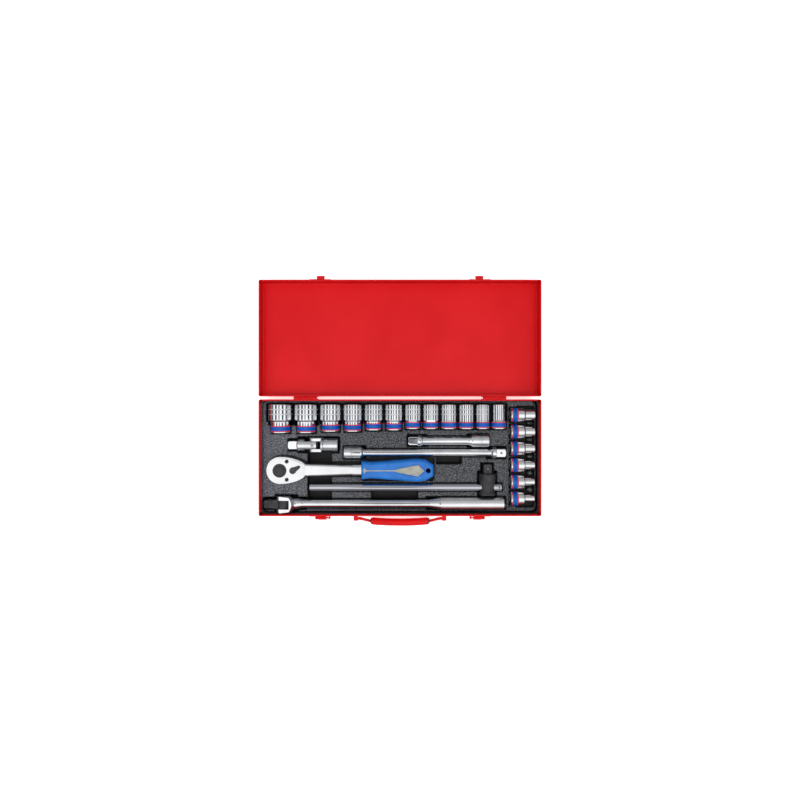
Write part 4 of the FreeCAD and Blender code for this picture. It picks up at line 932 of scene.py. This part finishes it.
def islands(node):
    """Boxes, in millimetres and from left to right, of the separate lumps in a solid."""
    bm = opened(nodes[node].data, 1e-6)
    left = set(bm.verts)
    boxes = []
    while left:
        lump = [left.pop()]
        for vert in lump:
            joined = {edge.other_vert(vert) for edge in vert.link_edges} & left
            left -= joined
            lump += joined
        points = np.array([vert.co for vert in lump]) / MM
        boxes.append((points.min(axis=0), points.max(axis=0)))
    bm.free()
    return sorted(boxes, key=lambda box: tuple(box[0]))


print("base rivets:", len(islands("base_rivets")))

# %% [markdown]
# ## Rivets and screws
# Domed rivets hold the fittings of the case, and two socket screws hold the ratchet's cover. One head is
# turned and a copy of it is set on every marked point.

# %% Rivets and screws
KEY = 1.5
DOME_STEPS = 11
DOME_FLAT = 0.98


def copies(name, shape, points, finish, replaced):
    piece = linked(name, new_mesh(name, points))
    tree, start, keys = new_group("copies_on_points", Geometry="Geometry", Shape="Object")
    info = add_node(tree, "GeometryNodeObjectInfo", Object=start["Shape"])
    place = add_node(tree, "GeometryNodeInstanceOnPoints", Points=start["Geometry"],
                     Instance=info.outputs["Geometry"])
    end_group(tree, place.outputs["Instances"], finish)
    run_group(piece, tree, keys, Shape=shape)
    bpy.data.objects.remove(shape)
    shade(piece.data)
    return seat(piece, replaced)


def rivet_head(radius, rise):
    """Domed on both sides, so that it suits walls that face either way; half of it sinks into the wall."""
    t = np.linspace(-1, 1, DOME_STEPS)
    dome = [(rise * a, max(radius * math.sqrt(1 - DOME_FLAT * a * a), 0.1)) for a in t]
    return turned("rivet_head", rounds(dome), (0, 0, 0), red_enamel, turn=90.0)


for node in ("base_rivets", "lid_rivets"):
    boxes = islands(node)
    middles = [(low + high) / 2 for low, high in boxes]
    radius = max(high[0] - low[0] for low, high in boxes) / 2
    rise = min(high[1] - low[1] for low, high in boxes) / 2
    heads = copies("domed_" + node, rivet_head(radius, rise), middles, red_enamel, node)
    print(heads.name, len(boxes))

boxes = islands("cover_screws")
screw_r = (boxes[0][1][0] - boxes[0][0][0]) / 2
screw_h = boxes[0][1][2] - boxes[0][0][2]
screw = rounds([(0, screw_r), (screw_h - 0.4, screw_r), (screw_h, screw_r - 0.4)])
key_rows = [(screw_h, KEY + 0.2), (screw_h - 0.2, KEY), (0.35 * screw_h, KEY)]
screw += [(z, ring(half, 6), 0) for z, half in key_rows]
screw_head = turned("screw_head", screw, (0, 0, 0), black_phosphate, upright=True)
feet = [((low[0] + high[0]) / 2, (low[1] + high[1]) / 2, low[2]) for low, high in boxes]
copies("socket_screws", screw_head, feet, black_phosphate, "cover_screws")
print("cover screws:", len(boxes))

# %% [markdown]
# ## Latch pins and detent balls
# The latch pins are wires with a nub at the inner end. Both are one solid, so the left one stands for it and
# the right one only rides along. Each detent ball is turned to the size of its solid.

# %% Latch pins and detent balls
WIRE_R = 1.15
NUB_START = -1.5
NUB_STEPS = 12
for (low, high), label in zip(islands("latch_pins"), ("left", "right")):
    nub_r = (high[2] - low[2]) / 2
    wire_end = high[0] - low[0] - nub_r
    nub_angles = np.linspace(NUB_START, math.acos(WIRE_R / nub_r), NUB_STEPS)
    wire = [(nub_r * math.sin(a), nub_r * math.cos(a)) for a in nub_angles]
    wire += [(wire_end - 0.3, WIRE_R), (wire_end, WIRE_R - 0.3)]
    inner_end = (low + high) / 2
    inner_end[0] = high[0] - nub_r if label == "left" else low[0] + nub_r
    turn = 180.0 if label == "left" else 0.0
    pin = turned("painted_pin_" + label, rounds(wire), inner_end, red_enamel, turn=turn)
    if label == "left":
        seat(pin, "latch_pins")
    else:
        seat(pin, body="case_base", slot="red_paint")
print("latch pins: two")

BALL_ARC = np.linspace(-1.56, 1.56, 21)
BALLS = {"extension_short_ball": steel, "extension_long_ball": brass, "ratchet_drive_ball": steel,
         "t_head_ball": steel, "breaker_ball": steel}
for node, finish in BALLS.items():
    low, high, middle = node_span(node)
    ball_r = (high[0] - low[0]) / 2
    stations = rounds([(ball_r * math.sin(a), ball_r * math.cos(a)) for a in BALL_ARC])
    seat(turned("round_" + node, stations, middle, finish, upright=True), node)
print("detent balls:", len(BALLS))

# %% [markdown]
# ## Knurled grip
# The breaker bar's grip is rolled with a wheel that leaves rows of fine points. Geometry Nodes wrap a grid
# round the bar and sink every second point, which gives crossed diagonal furrows.

# %% Knurl
KNURL_X0 = 63.0
KNURL_X1 = 159.5
KNURL_R = 10.25
KNURL_DEPTH = 0.22
KNURL_ALONG = 221
KNURL_AROUND = 141
KNURL_SHARP = math.radians(20)
BAR_Z = 22.0


def knurl_tree(finish):
    tree, start, keys = new_group("knurl", Geometry="Geometry", Length="Float", Radius="Float", Depth="Float")

    def maths(operation, *values):
        node = tree.nodes.new("ShaderNodeMath")
        node.operation = operation
        for socket, value in zip(node.inputs, values):
            connect(tree, value, socket)
        return node.outputs[0]

    grid = add_node(tree, "GeometryNodeMeshGrid", Size_X=start["Length"], Size_Y=2 * math.pi,
                    Vertices_X=KNURL_ALONG, Vertices_Y=KNURL_AROUND)
    number = tree.nodes.new("GeometryNodeInputIndex").outputs[0]
    column = maths("FLOOR", maths("DIVIDE", maths("ADD", number, 0.5), float(KNURL_AROUND)))
    row = maths("MODULO", number, float(KNURL_AROUND))
    sunk = maths("MODULO", maths("ADD", column, row), 2.0)
    radius = maths("SUBTRACT", start["Radius"], maths("MULTIPLY", sunk, start["Depth"]))
    flat = tree.nodes.new("GeometryNodeInputPosition").outputs[0]
    flat_axes = add_node(tree, "ShaderNodeSeparateXYZ", Vector=flat).outputs
    place = add_node(tree, "ShaderNodeCombineXYZ", X=flat_axes["X"],
                     Y=maths("MULTIPLY", radius, maths("COSINE", flat_axes["Y"])),
                     Z=maths("MULTIPLY", radius, maths("SINE", flat_axes["Y"])))
    wrap = add_node(tree, "GeometryNodeSetPosition", Geometry=grid.outputs["Mesh"],
                    Position=place.outputs["Vector"])
    merge = add_node(tree, "GeometryNodeMergeByDistance", Geometry=wrap.outputs["Geometry"], Distance=0.00001)
    end_group(tree, merge.outputs["Geometry"], finish)
    return tree, keys


knurl = linked("knurled_grip", bpy.data.meshes.new("knurl"))
run_group(knurl, *knurl_tree(satin_chrome), Length=(KNURL_X1 - KNURL_X0) * MM, Radius=KNURL_R * MM,
          Depth=KNURL_DEPTH * MM)
bm = opened(knurl.data)
knurl_middle = ((KNURL_X0 + KNURL_X1) / 2 * MM, BREAKER_Y * MM, BAR_Z * MM)
bmesh.ops.translate(bm, verts=bm.verts, vec=knurl_middle)
bmesh.ops.holes_fill(bm, edges=[edge for edge in bm.edges if edge.is_boundary], sides=0)
keep_outward(bm, knurl.data)
shade(knurl.data, KNURL_SHARP)
seat(knurl, body="breaker_bar", slot="chrome")
print("knurl faces:", len(knurl.data.polygons))

# %% [markdown]
# Between the fork and the grip the breaker bar swells gently at both ends, so a turned shaft lies over the
# plain rod of the solid.

# %% Shaft of the breaker bar
SHAFT_R = 6.7
SHAFT_X0, SHAFT_X1 = -149.0, 43.0
FORK_X, FORK_NECK_R = -163.0, 9.0
GRIP_NECK_R = 9.6
NECK_STEPS = 10
shaft = neck(FORK_X, FORK_NECK_R, SHAFT_X0, SHAFT_R, NECK_STEPS)
shaft += neck(SHAFT_X1, SHAFT_R, KNURL_X0 + 0.5, GRIP_NECK_R, NECK_STEPS)
breaker_shaft = turned("breaker_shaft", rounds(shaft), (0, BREAKER_Y, BAR_Z), chrome)
seat(breaker_shaft, body="breaker_bar", slot="chrome")
print("shaft faces:", len(breaker_shaft.data.polygons))

# %% [markdown]
# ## Small fittings
# The handle's grip is bowed, and two black collars sit at its ends.

# %% Handle grip and collars
GRIP_BOW = 1.9
GRIP_STEPS = 25
COLLAR_OUT = 0.7
HANDLE_COLLAR = [(-1.3, 2.6), (-1.3, 4.4), (-1.0, 4.8), (1.0, 4.8), (1.3, 4.4), (1.3, 2.6)]
solid_points = points_of("handle_grip")


def grip_end(side):
    """Middle of the end face on the left (-1) or the right (1)."""
    far = side * np.abs(solid_points[:, 0]).max()
    return solid_points[np.abs(solid_points[:, 0] - far) < 0.5].mean(axis=0)


left_end, right_end = grip_end(-1), grip_end(1)
grip_length = right_end[0] - left_end[0]
grip_r = np.ptp(solid_points[:, 2]) / 2
grip_rows = [(0, grip_r - 0.9), (0.3, grip_r - 0.3)]
grip_rows += [(x, grip_r) for x in np.linspace(0, grip_length, GRIP_STEPS)[1:-1]]
grip_rows += [(grip_length - 0.3, grip_r - 0.3), (grip_length, grip_r - 0.9)]
bowed_grip = turned("bowed_grip", rounds(grip_rows), left_end, red_enamel)
for vert in bowed_grip.data.vertices:
    vert.co.y -= GRIP_BOW * MM * (1 - (vert.co.x / MM / right_end[0]) ** 2)
seat(bowed_grip, "handle_grip")

for side, label in ((-1, "left"), (1, "right")):
    collar_middle = grip_end(side) + np.array([side * COLLAR_OUT, 0, 0])
    collar = turned("grip_collar_" + label, rounds(HANDLE_COLLAR), collar_middle, black_moulding)
    seat(collar, body="handle", slot="black_plastic")
print("handle grip:", round(2 * grip_r, 1), "mm thick")

# %% [markdown]
# On the ratchet's grip lies one long grey inlay: a diamond, a thin line and a shield. Half of its outline is
# listed and then mirrored.

# %% Grip inlay
INLAY = [(-56.4, 0.0), (-54.6, 4.4), (-50.9, 0.8), (-9.1, 0.8), (0.0, 3.3), (27.4, 8.7), (37.2, 0.0)]
INLAY_PROUD = 0.15
INLAY_EDGE = 0.12
inlay_low, inlay_high, _ = node_span("grip_inlay")
inlay_rise = inlay_high[2] + INLAY_PROUD - inlay_low[2]
inlay_outline = INLAY + [(x, -y) for x, y in reversed(INLAY[1:-1])]
inlay_points = [(x, RATCHET_Y + y, inlay_low[2]) for x, y in inlay_outline]
inlay_mesh = new_mesh("inlay", inlay_points, [tuple(range(len(inlay_points)))])
bm = opened(inlay_mesh)
grown = bmesh.ops.extrude_face_region(bm, geom=list(bm.faces))
lifted = [item for item in grown["geom"] if isinstance(item, bmesh.types.BMVert)]
bmesh.ops.translate(bm, verts=lifted, vec=(0, 0, inlay_rise * MM))
top_rim = [edge for edge in bm.edges if all(vert in lifted for vert in edge.verts)]
bmesh.ops.bevel(bm, geom=top_rim, offset=INLAY_EDGE * MM, segments=2, profile=0.5, affect="EDGES")
keep_outward(bm, inlay_mesh)
seat(settle(linked("long_inlay", inlay_mesh, grey_moulding)), "grip_inlay")
print("inlay corners:", len(inlay_outline))

# %% [markdown]
# A small sprung ball on the sliding bar keeps its head from running off.

# %% Stop ball
STOP_X = 153.5
STOP_R = 1.6
STOP_SUNK = 0.6
STOP_ARC = np.linspace(0, 1.55, 8)
dome = [(STOP_R * math.sin(a) - STOP_SUNK, max(STOP_R * math.cos(a), 0.05)) for a in STOP_ARC]
stop_place = (STOP_X, TBAR_Y, BAR_Z + T_ROD_R)
stop_ball = turned("bar_stop_ball", rounds(dome), stop_place, steel, upright=True)
seat(stop_ball, body="t_bar", slot="zinc_steel")
print("stop ball faces:", len(stop_ball.data.polygons))

# %% [markdown]
# ## Camera and light
# The photograph looks straight down from about 0.7 m, and its wide lens shows a little of the inner walls.
# Four soft boxes light the paint and the plastic, and reflections leave them out.

# %% Camera and light
CAMERA_HEIGHT = 0.725
CAMERA_Y = 0.088
LENS = 20.34
SENSOR = 36.0
CENTRE = (0.0, 0.09, 0.02)
SIDE_BOX = (1.4, 0.5)
scene = bpy.context.scene
camera = bpy.data.objects.new("camera", bpy.data.cameras.new("camera"))
camera.data.lens = LENS
camera.data.sensor_width = SENSOR
camera.location = (0.0, CAMERA_Y, CAMERA_HEIGHT)
scene.collection.objects.link(camera)
scene.camera = camera
scene.view_settings.view_transform = "Standard"


def soft_box(name, place, width, length, power):
    lamp = bpy.data.lights.new(name, "AREA")
    lamp.shape = "RECTANGLE"
    lamp.size = width
    lamp.size_y = length
    lamp.energy = power
    box = bpy.data.objects.new(name, lamp)
    box.location = place
    box.rotation_euler = (Vector(CENTRE) - Vector(place)).to_track_quat("-Z", "Y").to_euler()
    box.visible_glossy = False
    scene.collection.objects.link(box)


soft_box("top_box", (0.0, 0.02, 1.6), 1.2, 0.8, 7.2)
soft_box("left_box", (-1.25, 0.1, 0.9), *SIDE_BOX, 0.7)
soft_box("right_box", (1.25, 0.1, 0.9), *SIDE_BOX, 0.7)
soft_box("front_box", (0.0, -1.3, 0.9), *SIDE_BOX, 2.4)
print("camera at", tuple(round(v, 3) for v in camera.location), "with", len(bpy.data.lights), "lights")

# %% [markdown]
# What the chrome shows is the room: white panels with dark gaps from left to right, which stripe the sockets,
# and one bright panel towards the front, which lies along the bars. Near the ground it is plain grey.

# %% The room round the chrome
def grey(level):
    return (level, level, level, 1.0)


WHITE = grey(1.0)
BLACK = grey(0.0)
NAVY = (0.022, 0.028, 0.055, 1.0)
BROWN = (0.085, 0.072, 0.062, 1.0)
GREY_WALL = (0.17, 0.17, 0.175, 1.0)
WALL_TOP = 0.3
PANELS_FROM = 0.5
ROOM_LIGHT = 1.22
ACROSS = [(-1.0, NAVY), (-0.86, NAVY), (-0.82, WHITE), (-0.66, WHITE), (-0.6, NAVY), (-0.42, NAVY),
          (-0.37, WHITE), (-0.13, WHITE), (-0.08, BROWN), (0.03, NAVY), (0.08, WHITE), (0.4, WHITE),
          (0.45, NAVY), (0.62, NAVY), (0.67, WHITE), (0.83, WHITE), (0.88, BROWN), (1.0, BROWN)]
ALONG = [(-1.0, grey(0.1)), (-0.8, grey(0.3)), (-0.5, WHITE), (-0.06, WHITE), (0.12, grey(0.75)),
         (0.3, grey(0.42)), (0.8, grey(0.36)), (1.0, grey(0.2))]
STRIPED = [(-1.0, BLACK), (-0.17, BLACK), (-0.1, WHITE), (0.14, WHITE), (0.24, BLACK), (1.0, BLACK)]

world = bpy.data.worlds.new("studio")
world.use_nodes = True
room = world.node_tree
view = room.nodes.new("ShaderNodeTexCoord").outputs["Generated"]
axes = add_node(room, "ShaderNodeSeparateXYZ", Vector=view).outputs


def panels(axis, stops):
    """Row of panels and gaps along one axis of the room, from -1 to 1."""
    along_axis = spread(room, axes[axis], -1.0, 1.0)
    return colour_ramp(room, along_axis, [((x + 1) / 2, colour) for x, colour in stops])


stripes = blend(room, panels("Y", STRIPED), WHITE, panels("X", ACROSS))
overhead = blend(room, 1.0, stripes, panels("Y", ALONG), "MULTIPLY")
whole_room = blend(room, spread(room, axes["Z"], WALL_TOP, PANELS_FROM), GREY_WALL, overhead)
fill(room, room.nodes["Background"], {"Color": whole_room, "Strength": ROOM_LIGHT})
scene.world = world
print("room:", len(ACROSS), "stops across and", len(ALONG), "along")

# %% [markdown]
# ## Floor
# The floor glows a little, which keeps it as pale as in the photograph.

# %% Floor
FLOOR_HALF = 3000.0
FLOOR_Z = -0.0005
white_floor = Finish("white_floor", (250, 250, 250), 0.0, 0.9, Emission_Color=WHITE)
white_floor.set(Emission_Strength=0.6)
corners = [(x * FLOOR_HALF, y * FLOOR_HALF, 0.0) for x, y in ((-1, -1), (1, -1), (1, 1), (-1, 1))]
floor = linked("floor", new_mesh("floor", corners, [(0, 1, 2, 3)]), white_floor)
floor.location.z = FLOOR_Z
print("floor:", 2 * FLOOR_HALF, "mm wide")
